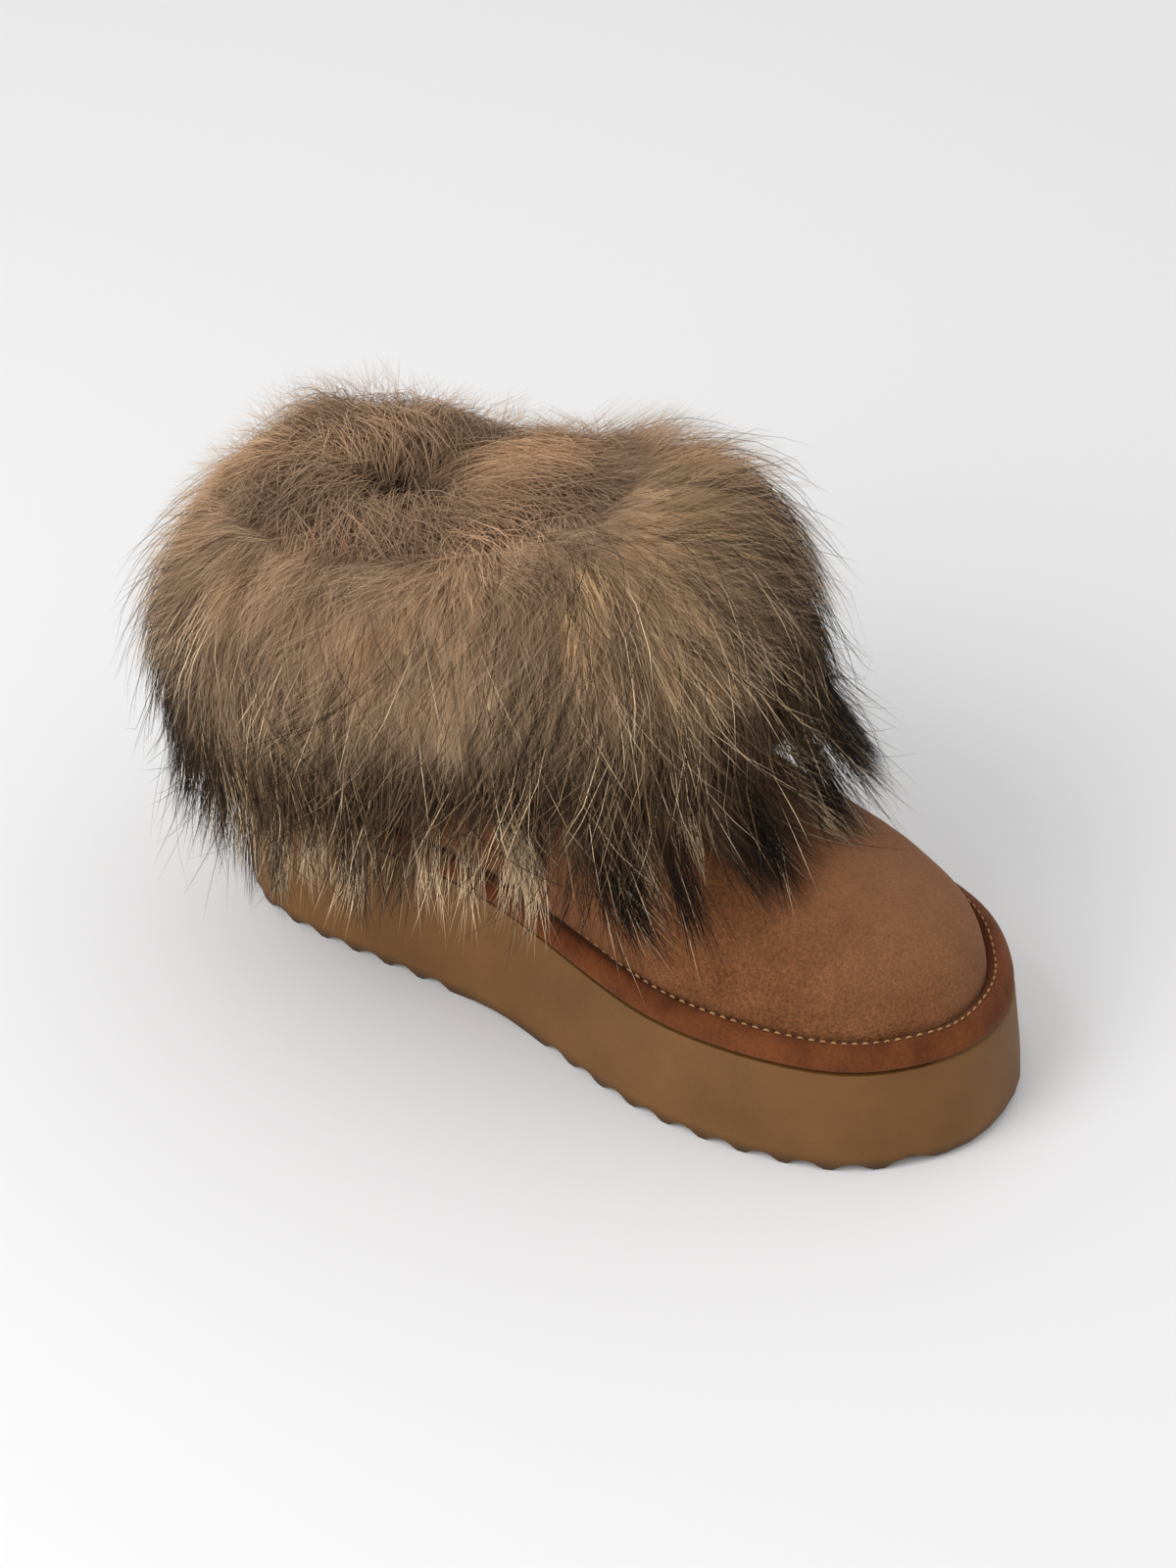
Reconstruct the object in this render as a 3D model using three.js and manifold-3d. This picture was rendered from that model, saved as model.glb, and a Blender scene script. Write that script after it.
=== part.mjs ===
// A left winter ankle boot of sheepskin suede on a thick moulded platform sole, with a deep collar
// of long fur. The moulded sole, the footbed, the hollow upper, the bound rand that covers its
// lower edge and the fur collar are separate pieces, as a maker puts them together.
//
// The frame: millimetres, +Z up, toe towards -Y, the wearer's left (outer side) towards +X. The
// origin is on the floor, in the middle of the tread bar under the heel seat.
import * as THREE from "three";
import { ConvexGeometry } from "three/addons/geometries/ConvexGeometry.js";
import { mergeVertices } from "three/addons/utils/BufferGeometryUtils.js";
import Module from "manifold-3d";

const wasm = await Module();
wasm.setup();

// Driving sizes, in millimetres.
const soleLength = 275;
const heelWidth = 75;
const waistWidth = 88;
const ballWidth = 114;
const toeWidth = 98;
const toeTipShift = 3.6; // the tip of the toe lies this far to the inner side
const heelHeight = 42.5; // floor to the top of the sole at the heel
const toeHeight = 34; // the same at the toe
const toeSpring = 1.8;
const springLength = 30; // the toe spring starts this far from the tip of the toe
const heelBevel = 1.6;
const bevelLength = 16; // the heel's bevel ends this far from the back of the heel
const waistArch = 1.8;
const treadPitch = 13;
const treadBar = 2.4; // flat foot of each tread bar
const treadDepth = 2.8;
const heelSeatAt = 61.3; // heel to origin, along the sole
const gap = 0.3; // clearance between pieces that touch
const randWidth = 8;
const randHeight = 7;
const randFoot = 2; // the rand stands this far inside the tread's outline
const wallThickness = 3;
const collarLength = 120;
const collarWidth = 88;
const collarHeight = 150; // floor to the middle of the collar's rim
const collarTilt = 3.5; // the rim's front stands this much higher, and its back this much lower
const collarAt = 74; // heel to the middle of the collar, along the sole
const footbedThickness = 9;
const footbedDish = 2.5;
const footbedRound = 2; // rounding of the footbed's top edge
const furDepthHeel = 27;
const furDepthSide = 29;
const furDepthToe = 62;
const furCrownHeel = 7; // fur above the collar's rim
const furCrownToe = 18;
const furLip = 13; // fur over the rim, into the leg opening
const furClearance = 1; // the hanging locks keep this far from the rand and the sole
const furHemHeel = 66; // floor to the underside of the fur's ring at the heel and sides
const furHemToe = 99; // the same over the instep
const skinHemHeel = 0.3; // level of the upper where the fur's skin starts at the heel and sides
const skinHemToe = 0.68; // the same over the instep
const lockWidth = 21;
const lockLength = 42;

// How much the locks differ from each other, as shares of their size.
const lockWidthSpread = 0.15;
const lockLengthSpread = 0.22;
const lockSway = 0.12; // sideways, as a share of the length

// How square the curves are. At 1 the collar would be a plain oval, and the fur would stand out
// evenly all round it.
const ovalPower = 0.92;
const furPower = 0.65;

// The part of the sole's length over which the heel's sections turn into those of the toe.
const toeBlendStart = 0.34;
const toeBlendLength = 0.56;

// Counts of facets round the boot.
const soleFacets = 80;
const upperFacets = 56;

// Half widths of the sole's outline, heel to toe. along is a share of the sole's length, and
// inner and outer are shares of the width named in the row.
const outlineRows = [
  { along: 0.035, width: heelWidth, inner: 0.33, outer: 0.33 },
  { along: 0.14, width: heelWidth, inner: 0.5, outer: 0.5 },
  { along: 0.42, width: waistWidth, inner: 0.463, outer: 0.537 },
  { along: 0.68, width: ballWidth, inner: 0.493, outer: 0.507 },
  { along: 0.875, width: toeWidth, inner: 0.507, outer: 0.493 },
  { along: 0.974, width: toeWidth, inner: 0.272, outer: 0.228 },
];

// The sole's side wall. up is a share of its height and out the distance outside the tread's outline.
const soleWallRows = [
  { up: 0, out: 0.9 },
  { up: 0.04, out: 1.4 },
  { up: 0.16, out: 1.2 },
  { up: 0.36, out: 0.6 },
  { up: 0.64, out: -0.5 },
  { up: 0.95, out: -1.7 },
  { up: 1, out: -2.2 },
];

// The upper's rows from the sole to the collar. rise and lean are for the heel and sides, and
// toeRise and toeLean for the toe: shares of the leg's height, and of the way from the foot's
// outline to the collar's oval. swell is the outward bulge in mm at the heel and sides, and
// toeWidth the share of the width that the vamp's round shoulders keep.
const upperTable = [
  { rise: 0, lean: 0, swell: 0, toeRise: 0, toeLean: 0, toeWidth: 1 },
  { rise: 0.08, lean: 0.07, swell: 2, toeRise: 0.068, toeLean: 0, toeWidth: 1 },
  { rise: 0.165, lean: 0.15, swell: 3.2, toeRise: 0.135, toeLean: 0.022, toeWidth: 0.975 },
  { rise: 0.25, lean: 0.24, swell: 3.4, toeRise: 0.193, toeLean: 0.064, toeWidth: 0.93 },
  { rise: 0.33, lean: 0.34, swell: 3, toeRise: 0.24, toeLean: 0.13, toeWidth: 0.87 },
  { rise: 0.41, lean: 0.45, swell: 2.4, toeRise: 0.282, toeLean: 0.225, toeWidth: 0.815 },
  { rise: 0.495, lean: 0.56, swell: 1.7, toeRise: 0.33, toeLean: 0.34, toeWidth: 0.775 },
  { rise: 0.58, lean: 0.66, swell: 1, toeRise: 0.387, toeLean: 0.47, toeWidth: 0.77 },
  { rise: 0.665, lean: 0.75, swell: 0.5, toeRise: 0.463, toeLean: 0.605, toeWidth: 0.79 },
  { rise: 0.75, lean: 0.83, swell: 0.2, toeRise: 0.565, toeLean: 0.74, toeWidth: 0.84 },
  { rise: 0.835, lean: 0.895, swell: 0, toeRise: 0.7, toeLean: 0.862, toeWidth: 0.915 },
  { rise: 0.92, lean: 0.95, swell: 0, toeRise: 0.85, toeLean: 0.95, toeWidth: 0.97 },
  { rise: 1, lean: 1, swell: 0, toeRise: 1, toeLean: 1, toeWidth: 1 },
];

// The fur collar's section, from its underside up the outside to the crown. up is the share of
// the way from the underside to the crown, out a share of the fur's depth outside the collar's
// oval at the heel and sides, and toeOut the same over the instep.
const furSection = [
  { up: 0.05, out: 0.36, toeOut: 0.66 },
  { up: 0.01, out: 0.7, toeOut: 0.93 },
  { up: 0.14, out: 0.93, toeOut: 1.02 },
  { up: 0.38, out: 1, toeOut: 0.98 },
  { up: 0.63, out: 0.92, toeOut: 0.86 },
  { up: 0.83, out: 0.68, toeOut: 0.67 },
  { up: 0.95, out: 0.38, toeOut: 0.4 },
  { up: 1, out: 0.08, toeOut: 0.1 },
];

// The fur over the rim, from the crown inwards and back to the wall. in is a share of the lip's
// width, and up a share of the crown's height over the rim.
const furLipRows = [
  { in: 0.7, up: 0.75 },
  { in: 1, up: 0.4 },
  { in: 0.8, up: 0.05 },
  { in: 0, up: 0 },
];

// Rows of locks on the fur, from the lowest. at is the root's place in the section, counted in
// its rows, and wide a share of the lock's width. fall and splay say how far down and outwards
// the point lies from the root at the heel and sides, as shares of the lock's length, and
// toeFall and toeSplay the same over the instep.
const lockRows = [
  { count: 24, wide: 0.95, at: 0.9, fall: 0.8, splay: 0, toeFall: 0.62, toeSplay: 0.55 },
  { count: 22, wide: 1.1, at: 1.9, fall: 0.95, splay: 0.02, toeFall: 0.85, toeSplay: 0.38 },
  { count: 16, wide: 1.2, at: 3, fall: 1.05, splay: 0.1, toeFall: 1.1, toeSplay: 0.2 },
];

// The lock's section near its root and at its fullest. down is the way to the point, wide and
// thick are shares of the lock's half width, and sunk the distance into the fur's face.
const lockStations = [
  { down: -0.5, wide: 0.3, thick: 0.2, sunk: 0.9 },
  { down: 0.12, wide: 1, thick: 0.45, sunk: 0.05 },
];

// Small helpers for shares and smooth tables.
const mix = (a, b, share) => a + (b - a) * share;
const clamp01 = (value) => Math.min(1, Math.max(0, value));
const ease = (value) => {
  const t = clamp01(value);
  return t * t * (3 - 2 * t);
};

// A column of a table read smoothly, at a place counted in rows.
function column(table, name, place) {
  const last = table.length - 1;
  const at = Math.min(Math.max(place, 0), last);
  const row = Math.min(Math.floor(at), last - 1);
  const t = at - row;
  const value = (index) => table[Math.min(Math.max(index, 0), last)][name];
  const [a, b, c, d] = [value(row - 1), value(row), value(row + 1), value(row + 2)];
  const bend = 2 * a - 5 * b + 4 * c - d;
  const turn = 3 * b - a - 3 * c + d;
  return 0.5 * (2 * b + (c - a) * t + bend * t * t + turn * t ** 3);
}

// A number between 0 and 1 that is always the same for the same whole number.
function steadyNoise(index) {
  const value = Math.sin(index * 12.9898 + 4.137) * 43758.5453;
  return value - Math.floor(value);
}

const alongOf = (y) => heelSeatAt - y;
const toY = (along) => heelSeatAt - along;

// A direction drawn out towards the corners of its square, more so for a smaller power.
function squared(direction, power) {
  const drawn = (value) => Math.sign(value) * Math.abs(value) ** power;
  return new THREE.Vector3(drawn(direction.x), drawn(direction.y), 0);
}

const shares = (count) => Array.from({ length: count }, (_, i) => i / count);

// The sole's outline as a closed curve from the heel, by the outer side, to the toe and back.
function soleOutline() {
  const point = (x, along) => new THREE.Vector3(x, toY(along * soleLength), 0);
  const outer = outlineRows.map((row) => point(row.outer * row.width, row.along));
  const inner = outlineRows.map((row) => point(-row.inner * row.width, row.along)).reverse();
  const points = [point(0, 0), ...outer, point(-toeTipShift, 1), ...inner];
  return new THREE.CatmullRomCurve3(points, true, "catmullrom", 0.5);
}

// The collar's oval, from its back, by the outer side, to its front and back.
function collarOval() {
  const steps = 36;
  const points = shares(steps).map((share) => {
    const angle = 2 * Math.PI * share;
    const round = squared(new THREE.Vector3(Math.sin(angle), Math.cos(angle), 0), ovalPower);
    const y = toY(collarAt) + (collarLength / 2) * round.y;
    return new THREE.Vector3((collarWidth / 2) * round.x, y, 0);
  });
  return new THREE.CatmullRomCurve3(points, true, "catmullrom", 0.5);
}

const footCurve = soleOutline();
const collarCurve = collarOval();
const curveSteps = 720;
footCurve.arcLengthDivisions = curveSteps;
collarCurve.arcLengthDivisions = curveSteps;

// A point on a closed curve at a share of its length, moved outwards by a distance.
function curvePoint(curve, share, out) {
  const t = ((share % 1) + 1) % 1;
  const point = curve.getPointAt(t);
  const tangent = curve.getTangentAt(t);
  return new THREE.Vector3(point.x - tangent.y * out, point.y + tangent.x * out, 0);
}

// Heights of the sole's top and underside at a place along it.
function soleTop(along) {
  const heelEnd = 0.28;
  const ballStart = 0.72;
  const share = ease((along / soleLength - heelEnd) / (ballStart - heelEnd));
  return mix(heelHeight, toeHeight, share);
}

function soleUnder(along) {
  const springStart = soleLength - springLength;
  const spring = toeSpring * clamp01((along - springStart) / springLength) ** 2;
  const bevel = heelBevel * clamp01((bevelLength - along) / bevelLength) ** 2;
  return spring + bevel;
}

// Geometry to solid and back.
function toSolid(geometry) {
  const bare = geometry.index ? geometry.toNonIndexed() : geometry.clone();
  bare.deleteAttribute("normal");
  bare.deleteAttribute("uv");
  const merged = mergeVertices(bare, 1e-3);
  const mesh = new wasm.Mesh({
    numProp: 3,
    vertProperties: merged.attributes.position.array,
    triVerts: new Uint32Array(merged.index.array),
  });
  return new wasm.Manifold(mesh);
}

function toGeometry(solid) {
  const mesh = solid.getMesh();
  const positions = new Float32Array(mesh.numVert * 3);
  for (let i = 0; i < mesh.numVert; i++) {
    positions.set(mesh.vertProperties.subarray(i * mesh.numProp, i * mesh.numProp + 3), i * 3);
  }
  const geometry = new THREE.BufferGeometry();
  geometry.setAttribute("position", new THREE.BufferAttribute(positions, 3));
  geometry.setIndex(new THREE.BufferAttribute(mesh.triVerts, 1));
  geometry.computeVertexNormals();
  return geometry;
}

// A surface through rings of points: each ring is joined to the next, and the last to the first
// where closed is true. Otherwise the two ends get caps, as strips straight across the boot.
function loft(rings, closed) {
  const count = rings[0].length;
  const positions = rings.flat().flatMap((p) => [p.x, p.y, p.z]);
  const index = [];
  const at = (ring, i) => (ring % rings.length) * count + (i % count);
  const bands = closed ? rings.length : rings.length - 1;
  for (let ring = 0; ring < bands; ring++) {
    for (let i = 0; i < count; i++) {
      const [a, b, c, d] = [at(ring, i), at(ring, i + 1), at(ring + 1, i + 1), at(ring + 1, i)];
      index.push(a, b, c, a, c, d);
    }
  }
  if (!closed) {
    for (const [ring, turn] of [[0, true], [rings.length - 1, false]]) {
      for (let i = 0; i < count / 2; i++) {
        const [a, b] = [at(ring, i), at(ring, i + 1)];
        const [c, d] = [at(ring, count - i - 1), at(ring, (count - i) % count)];
        const faces = [[a, b, c], [a, c, d]];
        for (const [p, q, r] of faces) {
          if (p !== q && q !== r && p !== r) {
            index.push(...(turn ? [p, r, q] : [p, q, r]));
          }
        }
      }
    }
  }
  const geometry = new THREE.BufferGeometry();
  geometry.setAttribute("position", new THREE.Float32BufferAttribute(positions, 3));
  geometry.setIndex(index);
  const solid = toSolid(geometry);
  return solid.volume() < 0 ? toSolid(flipped(geometry)) : solid;
}

function flipped(geometry) {
  const index = Array.from(geometry.index.array);
  for (let i = 0; i < index.length; i += 3) {
    [index[i + 1], index[i + 2]] = [index[i + 2], index[i + 1]];
  }
  geometry.setIndex(index);
  return geometry;
}

// The largest body of a solid that a cut has left in pieces.
function mainBody(solid) {
  const bodies = solid.decompose();
  return bodies.reduce((best, body) => (body.volume() > best.volume() ? body : best));
}

// A ring on the foot's outline: out moves it outwards and heightAt gives its height along the boot.
function footRing(count, out, heightAt) {
  return shares(count).map((share) => {
    const point = curvePoint(footCurve, share, out);
    point.z = heightAt(alongOf(point.y));
    return point;
  });
}

// The moulded platform sole, with bars across its tread that show as scallops at its edge.
function makeSole() {
  const rings = soleWallRows.map((row) =>
    footRing(soleFacets, row.out, (along) => mix(soleUnder(along), soleTop(along), row.up)),
  );
  let sole = loft(rings, false);
  const arc = treadPitch - treadBar;
  const below = 4; // the cutters reach this far under the tread
  const reach = ballWidth * 1.4; // and this far from one side to the other
  const cutter = (along, chord, depth) => {
    const bow = (chord * chord / 4 + depth * depth) / (2 * depth);
    const half = Math.asin(chord / 2 / bow);
    const shape = new THREE.Shape();
    shape.moveTo(-chord / 2 - 1, -below);
    shape.lineTo(chord / 2 + 1, -below);
    shape.lineTo(chord / 2, 0);
    shape.absarc(0, depth - bow, bow, Math.PI / 2 - half, Math.PI / 2 + half, false);
    shape.closePath();
    const options = { depth: reach, bevelEnabled: false, curveSegments: 5 };
    const bar = new THREE.ExtrudeGeometry(shape, options);
    bar.translate(0, 0, -reach / 2);
    bar.rotateX(Math.PI / 2);
    bar.rotateZ(Math.PI / 2);
    bar.translate(0, toY(along), 0);
    return toSolid(bar);
  };
  const heelBars = 3; // bars behind and before the bar at the heel seat
  const waistBars = 3; // pitches of smooth waist
  const first = heelSeatAt - heelBars * treadPitch;
  const waistStart = heelSeatAt + heelBars * treadPitch;
  const waistEnd = waistStart + waistBars * treadPitch;
  const cuts = [];
  for (let along = first - treadPitch / 2; along < soleLength - treadPitch / 3; along += treadPitch) {
    if (along < waistStart || along > waistEnd) {
      cuts.push(cutter(along, arc, treadDepth));
    }
  }
  cuts.push(cutter((waistStart + waistEnd) / 2, waistEnd - waistStart - treadBar, waistArch));
  for (const cut of cuts) {
    const lift = soleUnder(heelSeatAt - (cut.boundingBox().min[1] + cut.boundingBox().max[1]) / 2);
    sole = sole.subtract(cut.translate([0, 0, lift]));
  }
  return sole;
}

// The foot of the upper stands this far inside the tread's outline.
const upperInset = randFoot + randWidth;

// How far towards the toe a point of the outline lies, from 0 at the heel to 1 at the toe.
function toeShare(share) {
  const along = alongOf(curvePoint(footCurve, share, 0).y) / soleLength;
  return ease((along - toeBlendStart) / toeBlendLength);
}

// The upper's outer surface. share goes round the boot and level runs from 0 at the sole to 1 at
// the collar's rim.
function upperSurface(share, level) {
  const place = level * (upperTable.length - 1);
  const toe = toeShare(share);
  const rise = mix(column(upperTable, "rise", place), column(upperTable, "toeRise", place), toe);
  const lean = mix(column(upperTable, "lean", place), column(upperTable, "toeLean", place), toe);
  const swell = column(upperTable, "swell", place) * (1 - toe);
  const point = curvePoint(footCurve, share, swell - upperInset);
  const collar = curvePoint(collarCurve, share, 0);
  const base = soleTop(alongOf(point.y)) + gap;
  point.lerp(collar, lean);
  point.x *= mix(1, column(upperTable, "toeWidth", place), toe);
  point.z = mix(base, rimHeight(alongOf(collar.y)), rise);
  return point;
}

// Floor to the collar's rim at a place along the boot.
function rimHeight(along) {
  return collarHeight + (collarTilt * (along - collarAt)) / (collarLength / 2);
}

// The outward direction of the upper at a place. It is level at the sole and at the rim.
function upperNormal(share, level) {
  const step = 0.004; // a short way along the surface, as a share
  const around = upperSurface(share + step, level).sub(upperSurface(share - step, level));
  const low = Math.max(0, level - step * 5);
  const high = Math.min(1, level + step * 5);
  const upwards = upperSurface(share, high).sub(upperSurface(share, low));
  const normal = upwards.cross(around).normalize();
  if (level <= 0 || level >= 1) {
    normal.z = 0;
    normal.normalize();
  }
  return normal;
}

const upperPoint = (share, level, out) =>
  upperSurface(share, level).addScaledVector(upperNormal(share, level), out);

const upperRing = (level, out) => shares(upperFacets).map((share) => upperPoint(share, level, out));
const upperLevels = upperTable.map((_, i) => i / (upperTable.length - 1));

// The upper: one suede wall, open at the collar and underneath.
function makeUpper() {
  const outside = upperLevels.map((level) => upperRing(level, 0));
  const inside = upperLevels.map((level) => upperRing(level, -wallThickness)).reverse();
  return loft([...outside, ...inside], true);
}

// The upper with its hollow filled, made thicker all round by a distance.
function filledUpper(out) {
  const rings = upperLevels.map((level) => upperRing(level, out));
  const under = rings[0].map((point) => new THREE.Vector3(point.x, point.y, 0));
  return loft([under, ...rings], false);
}

// The bound rand on the sole's edge. Its outer rows follow the sole, and its inner ones the upper.
function makeRand() {
  const section = [
    { in: 0, up: 0.06 },
    { in: -0.05, up: 0.34 },
    { in: 0.1, up: 0.66 },
    { in: 0.36, up: 0.92 },
    { in: 0.7, up: 1.06 },
    { in: 1, up: 0.96 },
    { in: 1, up: 0.06 },
  ];
  const seamGap = gap * 1.5; // a little over the gap, because the facets of the two differ
  const low = upperRing(upperLevels[0], seamGap);
  const high = upperRing(upperLevels[1], seamGap);
  const rings = section.map((row) =>
    footRing(upperFacets, -randFoot, (along) => soleTop(along) + row.up * randHeight).map((outer, i) => {
      const share = (outer.z - low[i].z) / (high[i].z - low[i].z);
      const inner = low[i].clone().lerp(high[i], share);
      return outer.lerp(inner, row.in);
    }),
  );
  return loft(rings, true);
}

// The footbed inside the upper, a little dished along its middle.
function makeFootbed() {
  const looseFit = gap * 3; // it drops in past the wall
  const edge = -upperInset - wallThickness - looseFit;
  const base = (along) => soleTop(along) + gap;
  const top = (along) => base(along) + footbedThickness;
  const middleShare = 0.45;
  const bottom = footRing(upperFacets, edge, base);
  const side = footRing(upperFacets, edge, (along) => top(along) - footbedRound);
  const rim = footRing(upperFacets, edge - footbedRound, top);
  const spine = curvePoint(footCurve, 0, 0).lerp(curvePoint(footCurve, 0.5, 0), 0.5);
  const dish = rim.map((p) => {
    const inner = p.clone();
    inner.x = mix(p.x, spine.x, middleShare);
    inner.y = mix(p.y, spine.y, middleShare / 3);
    inner.z = top(alongOf(inner.y)) - footbedDish;
    return inner;
  });
  return loft([bottom, side, rim, dish], false);
}

// A point of the fur ring's outside, at a place in its section counted in rows.
function furPoint(share, place) {
  const toe = toeShare(share);
  const out = mix(column(furSection, "out", place), column(furSection, "toeOut", place), toe);
  const point = curvePoint(collarCurve, share, 0);
  const outwards = squared(curvePoint(collarCurve, share, 1).sub(point), furPower);
  point.x += out * furDepthSide * outwards.x;
  point.y += out * (outwards.y < 0 ? furDepthToe : furDepthHeel) * outwards.y;
  const crown = rimHeight(alongOf(point.y)) + mix(furCrownHeel, furCrownToe, toe);
  point.z = mix(mix(furHemHeel, furHemToe, toe), crown, column(furSection, "up", place));
  return point;
}

// One lock: a tapered tuft that leaves the fur's face, hangs along the boot and ends in a point.
function makeLock(share, row, index) {
  const vary = (seed, spread) => mix(1 - spread, 1 + spread, steadyNoise(index + seed));
  const half = (lockWidth * row.wide * vary(50, lockWidthSpread)) / 2;
  const length = lockLength * vary(0, lockLengthSpread);
  const toe = toeShare(share);
  const root = furPoint(share, row.at);
  const step = 0.01;
  const across = furPoint(share + step, row.at).sub(furPoint(share - step, row.at));
  across.z = 0;
  across.normalize();
  const outwards = new THREE.Vector3(-across.y, across.x, 0);
  const forwards = new THREE.Vector3(0, -1, 0);
  const flow = outwards.clone().lerp(forwards, toe * 0.5).normalize();
  const tip = root.clone().addScaledVector(flow, mix(row.splay, row.toeSplay, toe) * length);
  tip.addScaledVector(across, (vary(90, lockSway) - 1) * length);
  tip.z -= mix(row.fall, row.toeFall, toe) * length;
  const fall = tip.clone().sub(root);
  const thickness = new THREE.Vector3().crossVectors(fall, across).normalize();
  const points = lockStations.flatMap((station) => {
    const centre = root.clone().addScaledVector(fall, station.down);
    centre.addScaledVector(outwards, -station.sunk * half);
    const corner = (a, b) => {
      const point = centre.clone().addScaledVector(across, a * half * station.wide);
      return point.addScaledVector(thickness, b * half * station.thick);
    };
    return [corner(-1, 0), corner(0, 1), corner(1, 0), corner(0, -1)];
  });
  return toSolid(new ConvexGeometry([...points, tip]));
}

// The fur collar: its thick ring and its locks in one piece, cut clear of the upper, rand and sole.
function makeFur() {
  const outside = furSection.map((_, place) => shares(upperFacets).map((share) => furPoint(share, place)));
  const lip = furLipRows.map((row) =>
    shares(upperFacets).map((share) => {
      const point = upperPoint(share, 1, -furLip * row.in);
      point.z += gap + row.up * mix(furCrownHeel, furCrownToe, toeShare(share));
      return point;
    }),
  );
  const skinGap = gap * 2; // between the fur's skin and the upper
  const skinRows = [1, 0.65, 0.3, 0];
  const skin = skinRows.map((row) =>
    shares(upperFacets).map((share) => {
      const hem = mix(skinHemHeel, skinHemToe, toeShare(share));
      return upperPoint(share, mix(hem, 1, row), skinGap);
    }),
  );
  let fur = loft([...outside, ...lip, ...skin], true);
  let index = 0;
  for (const [rowNumber, row] of lockRows.entries()) {
    for (let i = 0; i < row.count; i++) {
      const jitter = mix(-0.3, 0.3, steadyNoise(index + 7));
      fur = fur.add(makeLock((i + jitter + 0.5 * (rowNumber % 2)) / row.count, row, index));
      index += 1;
    }
  }
  const clearSole = loft(
    soleWallRows.map((row) =>
      footRing(upperFacets, row.out + furClearance, (along) =>
        mix(soleUnder(along) - furClearance, soleTop(along) + furClearance, row.up),
      ),
    ),
    false,
  );
  const randRows = [
    { in: 0, up: 0, over: -furClearance },
    { in: 0, up: 0.6, over: 0 },
    { in: 0.4, up: 1, over: furClearance },
  ];
  const clearRand = loft(
    randRows.map((row) => {
      const out = (row.in > 0 ? 0 : furClearance) - randFoot - randWidth * row.in;
      return footRing(upperFacets, out, (along) => soleTop(along) + randHeight * row.up + row.over);
    }),
    false,
  );
  const clearUpper = filledUpper(gap * 0.9);
  return mainBody(fur.subtract(clearUpper).subtract(clearSole).subtract(clearRand));
}

// Materials: colours, roughness and metalness.
const finish = (color, roughness) => new THREE.MeshStandardMaterial({ color, roughness, metalness: 0 });
const foamCaramel = finish(0x8a6239, 0.75);
const suedeTan = finish(0xa87650, 0.95);
const suedeRust = finish(0x6e3a1c, 0.9);
const woolCream = finish(0xc9b79a, 1);
const furBrown = finish(0x8c7257, 1);

const boot = new THREE.Group();
function addPiece(name, solid, material) {
  const mesh = new THREE.Mesh(toGeometry(solid), material);
  mesh.name = name;
  boot.add(mesh);
}

addPiece("sole", makeSole(), foamCaramel);
addPiece("rand", makeRand(), suedeRust);
addPiece("upper", makeUpper(), suedeTan);
addPiece("footbed", makeFootbed(), woolCream);
addPiece("fur_collar", makeFur(), furBrown);

export default boot;
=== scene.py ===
# A left winter ankle boot of tan sheepskin suede on a caramel foam platform, with a rust-brown bound
# rand, a wool footbed and a deep collar of long fur.
import math

import bpy
import numpy as np
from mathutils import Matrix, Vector
from mathutils.bvhtree import BVHTree


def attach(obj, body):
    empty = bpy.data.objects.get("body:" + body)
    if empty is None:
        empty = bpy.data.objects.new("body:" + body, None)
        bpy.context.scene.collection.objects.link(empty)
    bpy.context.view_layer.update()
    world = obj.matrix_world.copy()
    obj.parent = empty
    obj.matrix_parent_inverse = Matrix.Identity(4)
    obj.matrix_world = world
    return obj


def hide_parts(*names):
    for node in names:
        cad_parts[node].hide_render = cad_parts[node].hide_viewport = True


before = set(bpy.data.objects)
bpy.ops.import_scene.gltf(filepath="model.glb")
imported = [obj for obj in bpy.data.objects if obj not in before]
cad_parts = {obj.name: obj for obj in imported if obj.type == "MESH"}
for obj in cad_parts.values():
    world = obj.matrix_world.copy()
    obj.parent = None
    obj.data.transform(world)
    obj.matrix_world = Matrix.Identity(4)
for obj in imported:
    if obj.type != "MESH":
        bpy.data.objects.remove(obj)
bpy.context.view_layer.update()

# The sole: one moulded piece of caramel foam with a soft matt skin. Its edge is painted darker towards
# the floor, as painted shade under the scallops, and the bars of its tread show as shallow scallops.
SOLE_LENGTH = 0.275
HEEL_SEAT_AT = 0.0613
TOE_SHIFT = 0.0036
SOLE_ROWS = [  # along, inner, outer: share of the length, and half widths in metres
    (0.035, 0.02475, 0.02475),
    (0.14, 0.0375, 0.0375),
    (0.42, 0.04074, 0.04726),
    (0.68, 0.0562, 0.0578),
    (0.875, 0.04969, 0.04831),
    (0.974, 0.02666, 0.02234),
]
HEEL_TOP = 0.0425
TOE_TOP = 0.034
SLOPE_START = 0.28  # shares of the sole's length where its top starts to slope, and how far it does
SLOPE_RUN = 0.44
CURVE_STEPS = 2400


def ease(value):
    t = np.clip(value, 0, 1)
    return t * t * (3 - 2 * t)


def mix(a, b, share):
    return a + (b - a) * share


def smooth_between(a, b, c, d, u):
    """A value at share u of the way from b to c, on a smooth curve that also passes a and d."""
    bend = (2 * a - 5 * b + 4 * c - d) * u**2
    turn = (3 * b - a - 3 * c + d) * u**3
    return 0.5 * (2 * b + (c - a) * u + bend + turn)


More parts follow.
